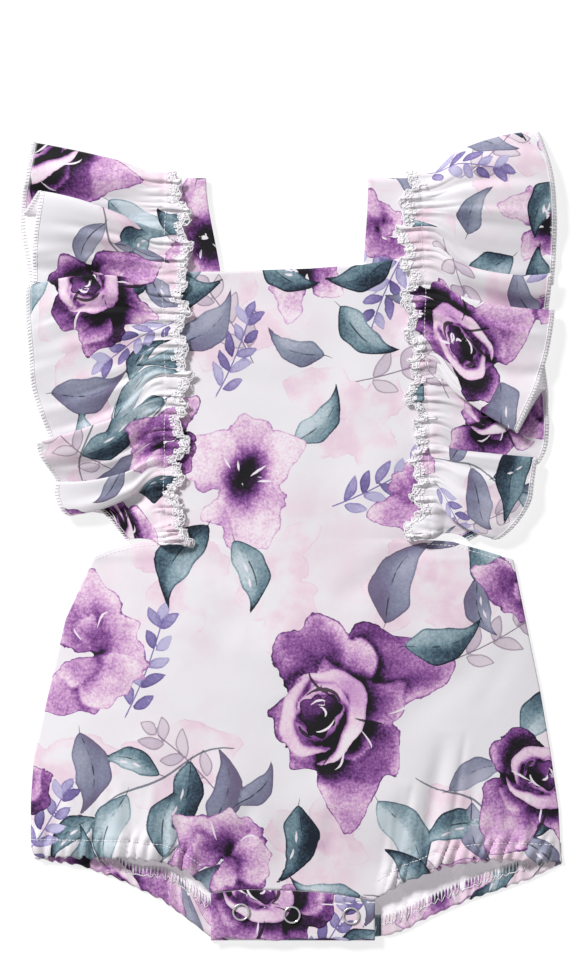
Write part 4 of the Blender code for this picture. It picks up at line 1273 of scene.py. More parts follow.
v_back = np.concatenate([np.linspace(0, 1, BACK_ROWS + 1), np.ones(TURNED_ROWS)])
turned_back = np.concatenate([np.zeros(BACK_ROWS + 1),
                              np.linspace(TURN_START, TURNED_WIDTH, TURNED_ROWS)])
u_back, v_back = np.meshgrid(np.linspace(0, 1, BACK_COLUMNS), v_back)
hem_x = BACK_HEM[0][0] + u_back * (BACK_HEM[-1][0] - BACK_HEM[0][0])
wider = 1.0 + WIDER * ramp(*WIDER_START, hem_x) * ramp(*WIDER_END, hem_x)
turned_back = turned_back[:, None] * wider
middle, hem_y = back_middle(u_back, v_back, turned_back)
middle[BACK_ROWS, :, 2] += HEM_TURN         # the row on the fold itself
back = Shell("back_cloth", middle, facing=-1.0)
t_back = np.where(turned_back > 0, hem_y - turned_back, middle[..., 1])
back.paint(-middle[..., 0] + BACK_CUT[0], t_back + BACK_CUT[1])
serged = ramp(*SERGED, turned_back / wider) * 0.6
back.attribute("thread", serged)
dress(back.object, "print_inside", "back_panel")
print("back points:", back.counts)

# %% [markdown]
# ## Straps
#
# Each strap is a strip of doubled cloth. Its front end is sewn behind the bib; it passes over
# the shoulder under the ruffle and ends on the back waist. Seen from the side its path is
# straight runs and one small round turn, so it is swept along them.

# %% Strap sizes
SHOULDER = 190.2
STRAP_FRONT_END, STRAP_BACK_END = 127.0, -12.0
STRAP_CLIMB = (14.0, 4.0)   # where it climbs onto the gathered waist
STRAP_LEVELS = (3.7, 1.8, 3.0)      # front part, back part, and on the gathered waist
STRAP_CLOTH = 0.9       # two layers, pressed
STRAP_STEP, STRAP_COLUMNS = 1.4, 21
STRAP_CUT = (20.0, 60.0)

# A strap: its side, the x of its outer edge, and of its inner edge at the shoulder, behind
# the bib and on the back.
Strap = namedtuple("Strap", "side outer inner_top inner_bib inner_back")
STRAPS = (Strap("left", -68.0, -45.0, -36.5, -38.0), Strap("right", 70.0, 41.0, 38.0, 40.0))
print("strap wide:", [abs(strap.outer - strap.inner_bib) for strap in STRAPS])


# %% Strap shape
def strap_middle(shape, columns):
    """Middle of a strap, from its front end over the shoulder to the back waist."""
    front_z, back_z, waist_z = STRAP_LEVELS
    radius = (front_z - back_z) / 2
    turn_y = SHOULDER - radius - CLOTH / 2
    path = [(STRAP_FRONT_END, front_z), (turn_y, front_z)]
    for angle in np.radians((60, 30, 0, -30, -60)):
        path.append((turn_y + radius * math.cos(angle), back_z + radius * (1 + math.sin(angle))))
    path += [(turn_y, back_z), (STRAP_CLIMB[0], back_z), (STRAP_CLIMB[1], waist_z),
             (STRAP_BACK_END, waist_z)]
    yz = resample(path, STRAP_STEP)
    turn = int(np.argmax(yz[:, 0]))
    wide = np.where(np.arange(len(yz)) < turn, shape.inner_bib, shape.inner_back)
    inner = wide + (shape.inner_top - wide) * ramp(STRAP_FRONT_END, SHOULDER, yz[:, 0])
    u = np.linspace(0, 1, columns)[None, :]
    x = shape.outer + u * (inner - shape.outer)[:, None]
    y = np.broadcast_to(yz[:, :1], x.shape)
    z = np.broadcast_to(yz[:, 1:], x.shape)
    return np.stack([x, y, z], axis=-1)


# %% Strap pieces
straps = {}
for shape in STRAPS:
    middle = strap_middle(shape, STRAP_COLUMNS)
    facing = -1.0 if shape.side == "left" else 1.0
    strap = Shell(f"strap_cloth_{shape.side}", middle, facing=facing, thick=STRAP_CLOTH)
    down = STRAP_STEP * np.arange(len(middle))[:, None] + 0.0 * middle[..., 0]
    strap.paint(middle[..., 0] + STRAP_CUT[0], STRAP_CUT[1] - down)
    dress(strap.object, "print", f"strap_{shape.side}")
    straps[shape.side] = strap
    print("strap", shape.side, "points:", strap.counts, "length:", round(float(down.max())))

# %% [markdown]
# ## Ruffles
#
# Each ruffle is a long strip gathered onto a straight line of stitches, from the back waist
# over the shoulder and down the front. Laid flat, its extra length falls into tiers that
# overlap like shingles. Inside the line stands a narrow heading whose edge, stretched while
# it was bound, curls like a lettuce leaf. Sines alone would give even waves. So a table of
# ribs, the same as for the imported solid, places every tier one by one, and each gather then
# gets its own height and reach from the sines.

# %% Ruffle ribs on the left
# A rib: where it leaves the line, the y of its middle, the x and y of its outer end, the
# levels of both, and the heading's width there.
Rib = namedtuple("Rib", "stitch mid edge_x edge_y rise_mid rise_edge heading")
RUFFLE_LEVEL, RUFFLE_BACK_LEVEL = 7.3, 0.5
FLAT = RUFFLE_BACK_LEVEL
BACK_RIBS_LEFT = (
    Rib(4, 9, -110, 13, FLAT, FLAT, 8), Rib(25, 27, -121, 30, FLAT, FLAT, 9),
    Rib(55, 56, -127, 56, FLAT, FLAT, 8), Rib(85, 84, -135, 83, FLAT, FLAT, 9),
    Rib(120, 123, -137, 125, FLAT, FLAT, 8), Rib(150, 151, -141.5, 152, FLAT, FLAT, 9),
    Rib(170, 171, -143.5, 170, FLAT, FLAT, 8), Rib(188, 197, -138, 203, FLAT, FLAT, 6),
)
FRONT_RIBS_LEFT = (
    Rib(193, 202, -137.5, 209, 4.0, 3.2, 5), Rib(189, 196, -139, 199, 9.0, 6.0, 6),
    Rib(183, 187, -141, 188, 10.0, 7.0, 8), Rib(175, 177, -142.5, 181, 5.2, 2.8, 10),
    Rib(167, 167, -142, 171, 3.4, 2.2, 11), Rib(158, 175, -132.5, 184, 13.6, 11.5, 12),
    Rib(151, 161, -135.5, 165, 12.0, 9.0, 12), Rib(145, 149, -137, 148, 6.4, 5.0, 13),
    Rib(139, 133, -137, 135, 3.0, 4.0, 10), Rib(131, 139, -140, 131, 11.5, 7.5, 8),
    Rib(120, 125, -140, 115, 11.0, 8.0, 11), Rib(109, 107, -138.5, 96, 9.0, 7.0, 11),
    Rib(98, 88, -137.5, 79, 7.0, 5.0, 10), Rib(88, 72, -132, 62, 5.0, 3.2, 11),
    Rib(80, 52, -127, 48, 3.0, 2.4, 10), Rib(72, 61, -134, 50, 13.0, 10.0, 11),
    Rib(62, 49, -133, 43, 12.0, 9.0, 10), Rib(53, 38, -127, 34, 5.5, 4.2, 11),
    Rib(48, 28, -121, 24, 3.2, 2.6, 10), Rib(43, 32, -124, 29.5, 11.0, 8.5, 9),
    Rib(38.5, 26, -125, 21.5, 11.0, 8.0, 8), Rib(34, 17, -119, 11, 9.5, 7.0, 7),
    Rib(28, 22, -108, 16, 4.4, 3.4, 7), Rib(22, 17, -101, 13.5, 3.4, 2.4, 7),
    Rib(13, 10, -96, 9, 5.5, 3.6, 8), Rib(5, 4, -91.5, 3.5, 5.0, 3.4, 8),
    Rib(-5, -1.5, -87, -2.4, 5.6, 3.4, 9),
)
print("ribs on the left:", len(BACK_RIBS_LEFT), len(FRONT_RIBS_LEFT))

# %% Ruffle ribs on the right
BACK_RIBS_RIGHT = (
    Rib(4, 6, 100, 9, FLAT, FLAT, 8), Rib(28, 32, 126.5, 35, FLAT, FLAT, 9),
    Rib(52, 54, 134, 56, FLAT, FLAT, 8), Rib(75, 75, 136.7, 73.5, FLAT, FLAT, 9),
    Rib(100, 100, 134, 99, FLAT, FLAT, 8), Rib(130, 131, 136.7, 130.5, FLAT, FLAT, 9),
    Rib(165, 167, 139, 168, FLAT, FLAT, 8), Rib(188, 202, 132.5, 207, FLAT, FLAT, 6),
)
FRONT_RIBS_RIGHT = (
    Rib(193, 209, 131, 215.3, 4.5, 3.2, 6), Rib(189, 203, 135, 205, 10.0, 7.0, 7),
    Rib(182, 190, 139, 190, 12.0, 9.0, 8), Rib(174, 175, 140.5, 172, 12.0, 9.0, 9),
    Rib(166, 157, 140.5, 154, 6.2, 4.6, 9), Rib(159, 131, 139, 133, 3.3, 3.2, 10),
    Rib(154, 141, 138.3, 140, 12.0, 9.5, 10), Rib(148, 133.5, 137.3, 129.5, 12.0, 9.0, 10),
    Rib(143, 126, 136.7, 124, 5.5, 4.2, 10), Rib(138, 118, 136.7, 118, 3.3, 2.6, 9),
    Rib(133, 124, 139.4, 120, 11.0, 8.0, 9), Rib(125, 112, 137.8, 107, 12.0, 9.0, 9),
    Rib(117, 101, 135.7, 96, 11.0, 9.0, 8), Rib(108, 90, 132.5, 86, 8.5, 8.0, 8),
    Rib(99, 82, 130.4, 79, 11.0, 11.5, 7), Rib(90, 69, 118.7, 53, 10.5, 11.5, 6),
    Rib(80, 79, 134, 79, 3.8, 4.2, 8), Rib(71, 66, 136.5, 65, 3.4, 2.2, 9),
    Rib(63, 57, 136.7, 59, 6.0, 3.4, 6), Rib(57, 46, 135.7, 47, 4.2, 3.0, 5),
    Rib(52, 38, 131, 38, 2.8, 2.2, 6), Rib(47, 45, 130.4, 42, 10.0, 7.8, 6.5),
    Rib(40, 32, 128.3, 27, 10.5, 8.0, 6.5), Rib(33, 21, 126.7, 17.8, 10.5, 8.0, 7),
    Rib(27, 12, 119, 6, 10.0, 8.0, 8), Rib(21, 5, 109, -1.8, 8.5, 6.5, 8),
    Rib(15, 11, 105, 4, 4.4, 3.2, 8), Rib(9, 6.5, 100, 1, 3.2, 2.3, 8),
    Rib(-2, 1.5, 94, -2.4, 4.6, 3.0, 8),
)
print("ribs on the right:", len(BACK_RIBS_RIGHT), len(FRONT_RIBS_RIGHT))

# %% Ruffle sizes
# A ruffle: its side, where its line is at the shoulder and at the waist, the way in, its
# ribs, and the place in the printed cloth that it is cut from.
Ruffle = namedtuple("Ruffle", "side line_top line_bottom inward back front cut_s cut_t")
RUFFLES = (Ruffle("left", -67.0, -67.0, 1.0, BACK_RIBS_LEFT, FRONT_RIBS_LEFT, 120.0, -170.0),
           Ruffle("right", 68.5, 74.0, -1.0, BACK_RIBS_RIGHT, FRONT_RIBS_RIGHT, 45.0, 70.0))
RUFFLE_PITCH = 5.4      # along the sewing line, from one gather to the next
LINE_GATHER = 1.2       # height of a gather on the sewing line
HEADING_GATHER = 1.3    # and at the heading's edge
HEADING_CURL = 1.5      # how far the heading's edge swings back along itself
HEADING_LIFT = 0.9      # how far that edge stands up
LINE_HELD = 1.8         # half width of the stretch that the sewing line holds down
END_PUFF = 3.4          # how far the bunched lower end of the strip stands up
END_START = 13.0        # height over the waist where the strip starts to bunch
END_IN = 3.0            # how far the heading is drawn in there
FOLD_REACH = 0.32       # share of the width over which a tier grows out of the line
ROUNDING = 0.17         # how far along the ribs a fold's turn is rounded, in ribs
RUFFLE_WIDTH = 76.0     # of the cut strip outside the line
print("line on the front:", SHOULDER, "gathers:", round(SHOULDER / RUFFLE_PITCH))


# %% Curves between ribs
def curve(table, u):
    """Values between a table's rows, on a smooth curve through them."""
    last = len(table) - 1
    u = np.clip(u, 0.0, last)
    k = np.minimum(u.astype(int), last - 1)
    t = (u - k)[..., None]
    a, b = table[np.maximum(k - 1, 0)], table[k]
    c, d = table[k + 1], table[np.minimum(k + 2, last)]
    bend = (2 * a - 5 * b + 4 * c - d) * t ** 2 + (3 * b - a - 3 * c + d) * t ** 3
    return b + 0.5 * ((c - a) * t + bend)


def ribs_at(ribs, u):
    """Ribs at places between the table's, with the turns of the folds rounded."""
    table = np.array(ribs, float)
    total = 0.0
    for step, weight in ((-2, 1), (-1, 2), (0, 3), (1, 2), (2, 1)):
        total = total + weight / 9.0 * curve(table, u + step * ROUNDING)
    return Rib(*np.moveaxis(total, -1, 0))


def through(start, middle, end, t):
    """Value on the parabola through three evenly spaced values."""
    return start * (1 - t) * (1 - 2 * t) + 4 * middle * t * (1 - t) + end * t * (2 * t - 1)


# %% Ruffle shape
def ruffle_middle(ruffle, u, v, extra):
    """Middle of a ruffle's cloth: v is -1 at the heading's edge, 0 on the line, 1 outside."""
    rib = ribs_at(ruffle.back + ruffle.front, u)
    fold = len(ruffle.back)
    on_front = ramp(fold - 1.0, fold + 1.0, u)
    lively = ramp(fold + 0.2, fold + 1.2, u)
    level = RUFFLE_BACK_LEVEL + (RUFFLE_LEVEL - RUFFLE_BACK_LEVEL) * on_front
    line = ruffle.line_bottom + (ruffle.line_top - ruffle.line_bottom) * rib.stitch / SHOULDER
    out, inside = np.maximum(v, 0.0), np.maximum(-v, 0.0)
    grown = ramp(0.0, FOLD_REACH, v)
    x = line + (rib.edge_x - line) * out + ruffle.inward * rib.heading * inside
    y = rib.stitch + (through(rib.stitch, rib.mid, rib.edge_y, v) - rib.stitch) * grown
    z = level + (through(level, rib.rise_mid, rib.rise_edge, v) - level) * grown
    turn = 2.0 * np.pi * rib.stitch / RUFFLE_PITCH + 90.0 * (ruffle.inward > 0)
    turn = turn + 1.6 * np.sin(0.21 * turn + 1.0) + 0.8 * np.sin(0.53 * turn)
    strength = 0.68 + 0.34 * np.sin(0.37 * turn + 0.6) + 0.32 * np.sin(0.61 * turn)
    reach = 0.16 + 0.07 * np.sin(0.83 * turn + 2.0) + 0.05 * np.sin(2.3 * turn)
    reach = reach + 0.24 * np.maximum(np.sin(0.47 * turn), 0.0) ** 3
    fade = (1.0 - ramp(0.0, 1.0, out / reach)) * (1.0 - inside)
    pinched = 2.6 * np.abs(np.sin(turn / 2.0)) - 0.8
    held = 1.0 - 0.55 * np.exp(-(v * RUFFLE_WIDTH / LINE_HELD) ** 2)
    z = z + LINE_GATHER * strength * pinched * fade * held * (0.3 + 0.7 * lively)
    curly = inside * lively
    swing = np.sin(turn + 0.9) * (1.2 + 0.6 * np.sin(0.47 * turn)) + 2.0 * np.sin(0.31 * turn)
    swing = swing + 0.9 * np.sin(0.13 * turn + 2.0)
    z = z + curly * (HEADING_LIFT + HEADING_GATHER * strength * np.sin(turn))
    y = y + curly * HEADING_CURL * (np.sin(2.0 * turn) + 0.5 * np.sin(0.9 * turn + 1.0))
    x = x + ruffle.inward * curly * swing
    z = z + extra * lively * grown
    tucked = ramp(END_START, 1.0, rib.stitch) * lively
    bunch = np.sin(np.pi * np.clip((v + 1.0) / 1.3, 0.0, 1.0))
    z = z + END_PUFF * tucked * bunch * (1.0 + 0.35 * np.sin(2.0 * turn + 5.0 * v))
    x = x + ruffle.inward * END_IN * tucked * inside
    return np.stack([x, y, np.maximum(z, RUFFLE_BACK_LEVEL - 0.1)], axis=-1)


# %% Even columns
FINE_STEPS = 6000
RUFFLE_COLUMNS = 681
HEADING_ROWS, RUFFLE_ROWS = 9, 44
ROW_WEIGHTS = ((0.0, 1.6), (1.0, 1.0))      # how much the line and the outer edge count
RISE_WEIGHT = 0.3       # and a step up or down, beside a step along the table


def even_columns(ruffle, count):
    """Places along the ribs with even steps, both on the line and along the outer edge."""
    last = len(ruffle.back) + len(ruffle.front) - 1.0
    u = np.linspace(0.0, last, FINE_STEPS)
    steps = 0.0
    for v, weight in ROW_WEIGHTS:
        row = ruffle_middle(ruffle, u, np.full_like(u, v), 0.0)
        row[:, 2] *= RISE_WEIGHT
        steps = steps + weight * np.linalg.norm(np.diff(row, axis=0), axis=1)
    total = np.concatenate([[0.0], np.cumsum(steps)])
    return np.interp(np.linspace(0.0, total[-1], count), total, u)


print("places on the first ribs:", even_columns(RUFFLES[0], RUFFLE_COLUMNS)[:4].round(2))

# %% Ruffle pieces
MEASURED_AT = 0.7       # share of the width where the strip's length is measured
CREASE_PITCH, CREASE_HEIGHT = 15.0, 1.05    # of the small creases across the tiers
EDGE_PITCH, EDGE_HEIGHT = 24.0, 0.9         # of the outer edge's own waves
HEADING_WIDTH = 10.0
WHITE_EDGE, WHITE_HEADING = (0.965, 0.985), (-0.62, -0.82)  # where thread hides the print


def strip_length(ruffle, u, v):
    """Length along the strip at each column."""
    row = int(MEASURED_AT * RUFFLE_ROWS) + HEADING_ROWS
    return run_length(ruffle_middle(ruffle, u, v, 0.0)[row])


ruffles = {}
for index, ruffle in enumerate(RUFFLES):
    u = even_columns(ruffle, RUFFLE_COLUMNS)
    v = np.concatenate([np.linspace(-1, 0, HEADING_ROWS), np.linspace(0, 1, RUFFLE_ROWS)[1:]])
    u, v = np.meshgrid(u, v)
    length = strip_length(ruffle, u, v)
    s = np.broadcast_to(length, u.shape)
    out = np.clip(v, 0, 1)
    crease = uneven(s + 30.0 * index, CREASE_PITCH) * CREASE_HEIGHT * np.sin(np.pi * out ** 0.8)
    edge = uneven(s + 11.0, EDGE_PITCH) * EDGE_HEIGHT * out ** 3
    middle = ruffle_middle(ruffle, u, v, crease + edge)
    piece = Shell(f"ruffle_cloth_{ruffle.side}", middle, facing=ruffle.inward)
    t = np.where(v < 0, v * HEADING_WIDTH, v * RUFFLE_WIDTH)
    piece.paint(s + ruffle.cut_s, t + ruffle.cut_t)
    white = np.maximum(0.9 * ramp(*WHITE_EDGE, v), 0.62 * ramp(*WHITE_HEADING, v))
    piece.attribute("thread", white)
    dress(piece.object, "print", f"ruffle_{ruffle.side}")
    ruffles[ruffle.side] = piece
    print("ruffle", ruffle.side, "points:", piece.counts, "strip length:", round(length[-1]))

# %% [markdown]
# ## Snap bands
#
# The crotch closes with two bands. The front one is a folded strip sewn to the front's edge,
# and lies over the back one, which is folded up from the back's end. Three ring snaps go
# through both. A fold is a small half circle in the grid's rows.

# %% Band sizes
BAND_END = -214.2                           # y of the front band's fold
BAND_TOP_LEVEL, BAND_LOW_LEVEL = 6.35, 5.8  # of its layer on top and the one behind
BACK_BAND_LEVELS = (0.5, 2.8)               # of the back band's lower and upper layer
BACK_BAND_SEAM, BACK_BAND_TOP = -212.8, -191.0
BAND_COLUMNS, BAND_ROWS, BEHIND_ROWS, BACK_BAND_STEP = 71, 21, 14, 1.1
BAND_THICK, BACK_BAND_THICK = 0.45, 0.9
BAND_CUT = (150.0, 60.0)

# A pull along the front band's right half: its y at the middle, its height and half width.
BAND_CREASES = ((-195.6, -0.75, 0.9), (-193.6, 0.35, 1.3))
BAND_CREASE_SLOPE, BAND_CREASE_START = 0.04, (8.0, 20.0)

SNAPS = ((-26.5, -199.0), (0.5, -200.5), (31.8, -201.0))
print("band wide:", BAND_RIGHT - BAND_LEFT, "snaps:", len(SNAPS))


# %% Band shapes
def front_band_middle():
    """Middle of the front band's cloth: down on top, round its fold and up behind."""
    x = np.linspace(BAND_LEFT, BAND_RIGHT, BAND_COLUMNS)
    start = along(FRONT_HEM, x) - 0.3
    radius = (BAND_TOP_LEVEL - BAND_LOW_LEVEL) / 2
    low = BAND_END + 0.95 + 0.55 * np.sin(x / 7.0) + 0.4 * np.sin(x / 2.9 + 1.0)
    rows = []
    for share in np.linspace(0, 1, BAND_ROWS):
        y = start + share * (low + radius - start)
        swell = 0.14 * np.sin(x / 6.0 + 3.0 * share) * np.sin(np.pi * share)
        crease = 0.0
        for middle_y, height, wide in BAND_CREASES:
            off = (y - middle_y - BAND_CREASE_SLOPE * x) / wide
            crease = crease + height * np.exp(-off ** 2) * ramp(*BAND_CREASE_START, x)
        pucker = 0.22 * uneven(x, 4.6) * (1.0 - share) ** 3
        rows.append(np.stack([x, y, BAND_TOP_LEVEL + swell + crease + pucker], axis=-1))
    for angle in np.radians((45, 0, -45)):
        y = low + radius - radius * math.cos(angle)
        z = BAND_LOW_LEVEL + radius * (1 + math.sin(angle)) + 0.0 * x
        rows.append(np.stack([x, y, z], axis=-1))
    for share in np.linspace(0, 1, BEHIND_ROWS):
        y = low + radius + share * (start - low - radius)
        rows.append(np.stack([x, y, BAND_LOW_LEVEL + 0.0 * x], axis=-1))
    return np.array(rows)


def back_band_middle():
    """Middle of the back band: from the back's end, round its fold and up on top."""
    x = np.linspace(BAND_LEFT, BAND_RIGHT, BAND_COLUMNS)
    low, high = BACK_BAND_LEVELS
    radius, seam = (high - low) / 2, BACK_BAND_SEAM
    path = [(seam, low)]
    for angle in np.radians((-60, -30, 0, 30, 60)):
        path.append((seam - 0.2 - radius * math.cos(angle), low + radius * (1 + math.sin(angle))))
    path += [(seam, high), (BACK_BAND_TOP, high)]
    yz = resample(path, BACK_BAND_STEP)
    rows = [np.stack([x, y + 0.0 * x, z + 0.0 * x], axis=-1) for y, z in yz]
    return np.array(rows)


# %% Band pieces
front_band = Shell("front_band_cloth", front_band_middle(), thick=BAND_THICK)
front_band.paint(front_band.middle[..., 0] + BAND_CUT[0], front_band.middle[..., 1] + BAND_CUT[1])
dress(front_band.object, "print", "crotch_band_front")
back_band = Shell("back_band_cloth", back_band_middle(), facing=-1.0, thick=BACK_BAND_THICK)
back_band.paint(back_band.middle[..., 0] + BAND_CUT[0],
                back_band.middle[..., 1] - back_band.middle[..., 2])
dress(back_band.object, "print", "crotch_band_back")
print("band points:", front_band.counts, back_band.counts)

# %% [markdown]
# ## Snaps
#
# An open-ring snap shows only its ring: a round wire whose prongs are pressed through the
# cloth into the socket behind it. A ring is Blender's own torus. The sockets and studs lie
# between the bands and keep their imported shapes, with the same plated finish.

# %% Snaps
RING_RADIUS, RING_WIRE, RING_LEVEL = 4.15, 0.55, 7.35
RING_STEPS, WIRE_STEPS = 56, 14

for number, (x, y) in enumerate(SNAPS, start=1):
    bpy.ops.object.select_all(action="DESELECT")
    place = [(x - MIDDLE[0]) * MM, (y - MIDDLE[1]) * MM, RING_LEVEL * MM]
    bpy.ops.mesh.primitive_torus_add(location=place, major_segments=RING_STEPS,
                                     minor_segments=WIRE_STEPS,
                                     major_radius=RING_RADIUS * MM, minor_radius=RING_WIRE * MM)
    ring = bpy.context.object
    ring.name = f"ring_{number}"
    bpy.ops.object.transform_apply(location=True, rotation=True, scale=True)
    ring.data.materials.append(NICKEL)
    ring.data.shade_smooth()
    dress(ring, "nickel", f"snap_ring_{number}")
for name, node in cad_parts.items():
    if name.startswith(("snap_socket", "snap_stud")):
        node.data.materials.clear()
        node.data.materials.append(NICKEL)
print("rings:", len(SNAPS), "each", 2 * (RING_RADIUS + RING_WIRE), "mm across")

# %% [markdown]
# ## Overlocked edges
#
# A raw edge is bound by looped threads: seen from either side they run from the edge to a
# row of needle stitches and back. Such a binding is one tube that crosses over the cloth,
# round its edge and under it, stitch after stitch. A painted white line would be flat, and
# these loops are what catches the light. The ruffles' outer edges and the turned leg hems
# are bound this way. Two fluffy threads run in open loops along the stretched headings.

# %% Overlock
THREAD_RADIUS = 0.2
OVER = 0.42             # a thread's height over the cloth's middle
BEYOND = 0.3            # how far it stands out of the edge

# One stitch: how far along, how deep from the edge and how high, in shares of the pitch,
# the width and the thread's height.
STITCH_TURN = ((0.0, 1.0, 1.0), (0.12, 0.12, 1.0), (0.25, 0.0, 0.0), (0.38, 0.12, -1.0),
               (0.5, 1.0, -1.0), (0.62, 0.12, -1.0), (0.75, 0.0, 0.0), (0.88, 0.12, 1.0))


def overlock(shell, row, inward, width, pitch, columns=None, waver=0.0):
    """Paths of the binding on an edge row: inward is +1 or -1, the way rows run in."""
    line = shell.middle[row]
    start, end = columns or (0, len(line) - 1)
    places = even_places(line[start:end + 1], pitch) + start
    step = np.linalg.norm(shell.middle[row + inward] - line, axis=1)
    near = np.interp(places, np.arange(len(line)), step)
    turn = np.gradient(places)
    beyond = unit(shell.at(row, places) - shell.at(row + inward, places)) * BEYOND
    deep = width / near * (1.0 + waver * np.sin(2.9 * np.arange(len(places))))
    turns = []
    for part, depth, lift in STITCH_TURN:
        at = places + part * turn
        points = shell.at(row + inward * deep * depth, at, lift * OVER)
        if depth == 0.0:
            points = points + beyond
        turns.append(points)
    needle = shell.at(row + inward * deep, places, OVER)
    return [np.stack(turns, axis=1).reshape(-1, 3), needle]


# %% Running loops
PER_LOOP = 10           # points to a loop


def running_loops(shell, row, inward, deep, size, step, lift):
    """Path of a thread that runs along an edge row in loops, so deep inside the edge."""
    line = shell.middle[row]
    pitch = np.linalg.norm(np.gradient(line, axis=0), axis=1)
    rise = np.linalg.norm(shell.middle[row + inward] - line, axis=1)
    places = even_places(line, step / PER_LOOP)
    turn = 2.0 * np.pi * np.arange(len(places)) / PER_LOOP
    own_size = size * (1.0 + 0.25 * np.sin(0.37 * turn + 1.0))
    index = np.arange(len(line))
    columns = places + 0.5 * own_size * np.cos(turn) / np.interp(places, index, pitch)
    columns = np.clip(columns, 0.0, len(line) - 1.0)
    deep = deep + 0.5 * own_size * np.sin(turn) + 0.5 * np.sin(0.083 * turn)
    rows = row + inward * np.maximum(deep, 0.0) / np.interp(columns, index, rise)
    beyond = unit(shell.at(row, columns) - shell.at(row + inward, columns))
    points = shell.at(rows, columns, lift + 0.15 * np.sin(turn + 0.8))
    return [points + beyond * np.maximum(-deep, 0.0)[:, None]]


# %% Bound edges of the ruffles
LOOP_RADIUS = 0.34      # of the fluffy thread on the headings
EDGE_WIDTH, EDGE_STEP = 2.2, 1.75
HEADING_LOOPS = ((0.9, 3.1, 2.7, 0.62), (3.6, 1.8, 2.3, 0.34))  # how deep, size, step, height


def thread_piece(name, paths, radius=THREAD_RADIUS):
    """One piece of thread on the cloth, made from many paths."""
    piece = tubes(name, paths, radius)
    dress(piece, "print")
    print(name, "paths:", len(paths), "faces:", len(piece.data.polygons))
    return piece


for side_name, piece in ruffles.items():
    outer = overlock(piece, len(piece.middle) - 1, -1, EDGE_WIDTH, EDGE_STEP)
    heading = []
    for deep, size, step, lift in HEADING_LOOPS:
        heading += running_loops(piece, 0, 1, deep, size, step, lift)
    thread_piece(f"edge_binding_{side_name}", outer)
    thread_piece(f"heading_binding_{side_name}", heading, LOOP_RADIUS)

# %% Serged leg hems
LEG_SPANS = ((7, 79), (158, 233))   # columns of the back from a side seam to the crotch band
SERGE_WIDTH, SERGE_STEP, SERGE_WAVER, SERGE_RADIUS = 5.2, 2.0, 0.28, 0.31

leg_paths = []
for span in LEG_SPANS:
    leg_paths += overlock(back, len(back.middle) - 1, -1, SERGE_WIDTH, SERGE_STEP, span,
                          waver=SERGE_WAVER)
leg_binding = thread_piece("leg_hem_binding", leg_paths, SERGE_RADIUS)

# %% [markdown]
# ## Rows of stitches
#
# The ruffles are sewn on along a straight row. The armholes and the leg hems are turned and
# topstitched in white. A row could be one long thread, but a real lock stitch dips into the
# cloth at both ends, so every stitch is a short tube of its own.

# %% Stitch
STITCH, STITCH_GAP = 1.7, 0.55
ALONG_STITCH = np.array((0.04, 0.14, 0.5, 0.86, 0.96))      # a stitch's points, by share
STITCH_ARCH = np.array((-0.25, 0.05, 0.12, 0.05, -0.25))    # and how high each one is
STITCH_START = 0.12


def stitches(line, outward=1.0):
    """Short tubes along a line of points on the cloth's surface; outward -1 is below it."""
    places = even_places(line, STITCH + STITCH_GAP)
    share = ALONG_STITCH * STITCH / (STITCH + STITCH_GAP) + STITCH_START
    paths = []
    for a, b in zip(places[:-1], places[1:]):
        at = a + (b - a) * share
        path = points_at(line, at)
        path[:, 2] += STITCH_ARCH * outward
        paths.append(path)
    return paths


# %% Rows that hold the ruffles
SEWING_OVER, SEWING_RADIUS = 0.26, 0.17

for side_name, piece in ruffles.items():
    columns = np.arange(0, RUFFLE_COLUMNS)
    rows = HEADING_ROWS - 1.0 + 0.45 * np.sin(columns / 31.0) + 0.3 * np.sin(columns / 11.0)
    line = piece.at(rows, columns, SEWING_OVER)
    thread_piece(f"sewing_line_{side_name}", stitches(line), SEWING_RADIUS)

# %% Stitches on the front
LEG_ROWS = ((-137.0, -45.0), (47.0, 141.0))     # where they run, from seam to crotch band
HEM_OVER, ARMHOLE_OVER, FRONT_STITCH_RADIUS = 0.36, 0.3, 0.22
ARMHOLE_INSET = 2.0     # from the armhole's edge


def casing_rows():
    """Row, between the grid's, where each column of the front meets the casing's stitches."""
    rows = []
    above_hem = front.middle[..., 1] - along(FRONT_HEM, front.middle[..., 0])
    above_hem[v_front <= 1.0] = FAR_FROM_HEM
    for column in above_hem[BIB_ROWS:].T:
        rows.append(BIB_ROWS + np.interp(-CASING_WIDTH, -column, np.arange(len(column))))
    return np.array(rows)


def armhole_line(armhole):
    """Points on the cloth, a little inside an armhole's edge."""
    points = resample([(x, y) for y, x in armhole], 1.0)
    run = unit(np.gradient(points, axis=0))
    inset = np.stack([run[:, 1], -run[:, 0]], axis=-1) * ARMHOLE_INSET
    points = points + inset * np.where(inset[:, 1:] > 0, -1.0, 1.0)
    z = front_level(points[:, 0], points[:, 1]) + CLOTH / 2 + ARMHOLE_OVER
    return np.column_stack([points, z])


front_paths = []
hem_rows = casing_rows()
for start, end in LEG_ROWS:
    x_hem = front.middle[-1, :, 0]
    columns = np.flatnonzero((x_hem > start) & (x_hem < end))
    front_paths += stitches(front.at(hem_rows[columns], columns, HEM_OVER))
for armhole in (LEFT_ARMHOLE, RIGHT_ARMHOLE):
    front_paths += stitches(armhole_line(armhole))
front_stitches = thread_piece("front_stitches", front_paths, FRONT_STITCH_RADIUS)

# %% Stitches along the back waist
WAIST_MARGIN = 8        # columns at either side seam that the row leaves free
WAIST_OVER = 0.3
BACK_ROW_STEP = 1.62    # from one row of the back's grid to the next

columns = np.arange(WAIST_MARGIN, BACK_COLUMNS - WAIST_MARGIN)
line = back.at(CASING_WIDTH / BACK_ROW_STEP, columns, WAIST_OVER)
waist_stitches = thread_piece("waist_stitches", stitches(line, outward=-1.0), THREAD_RADIUS)

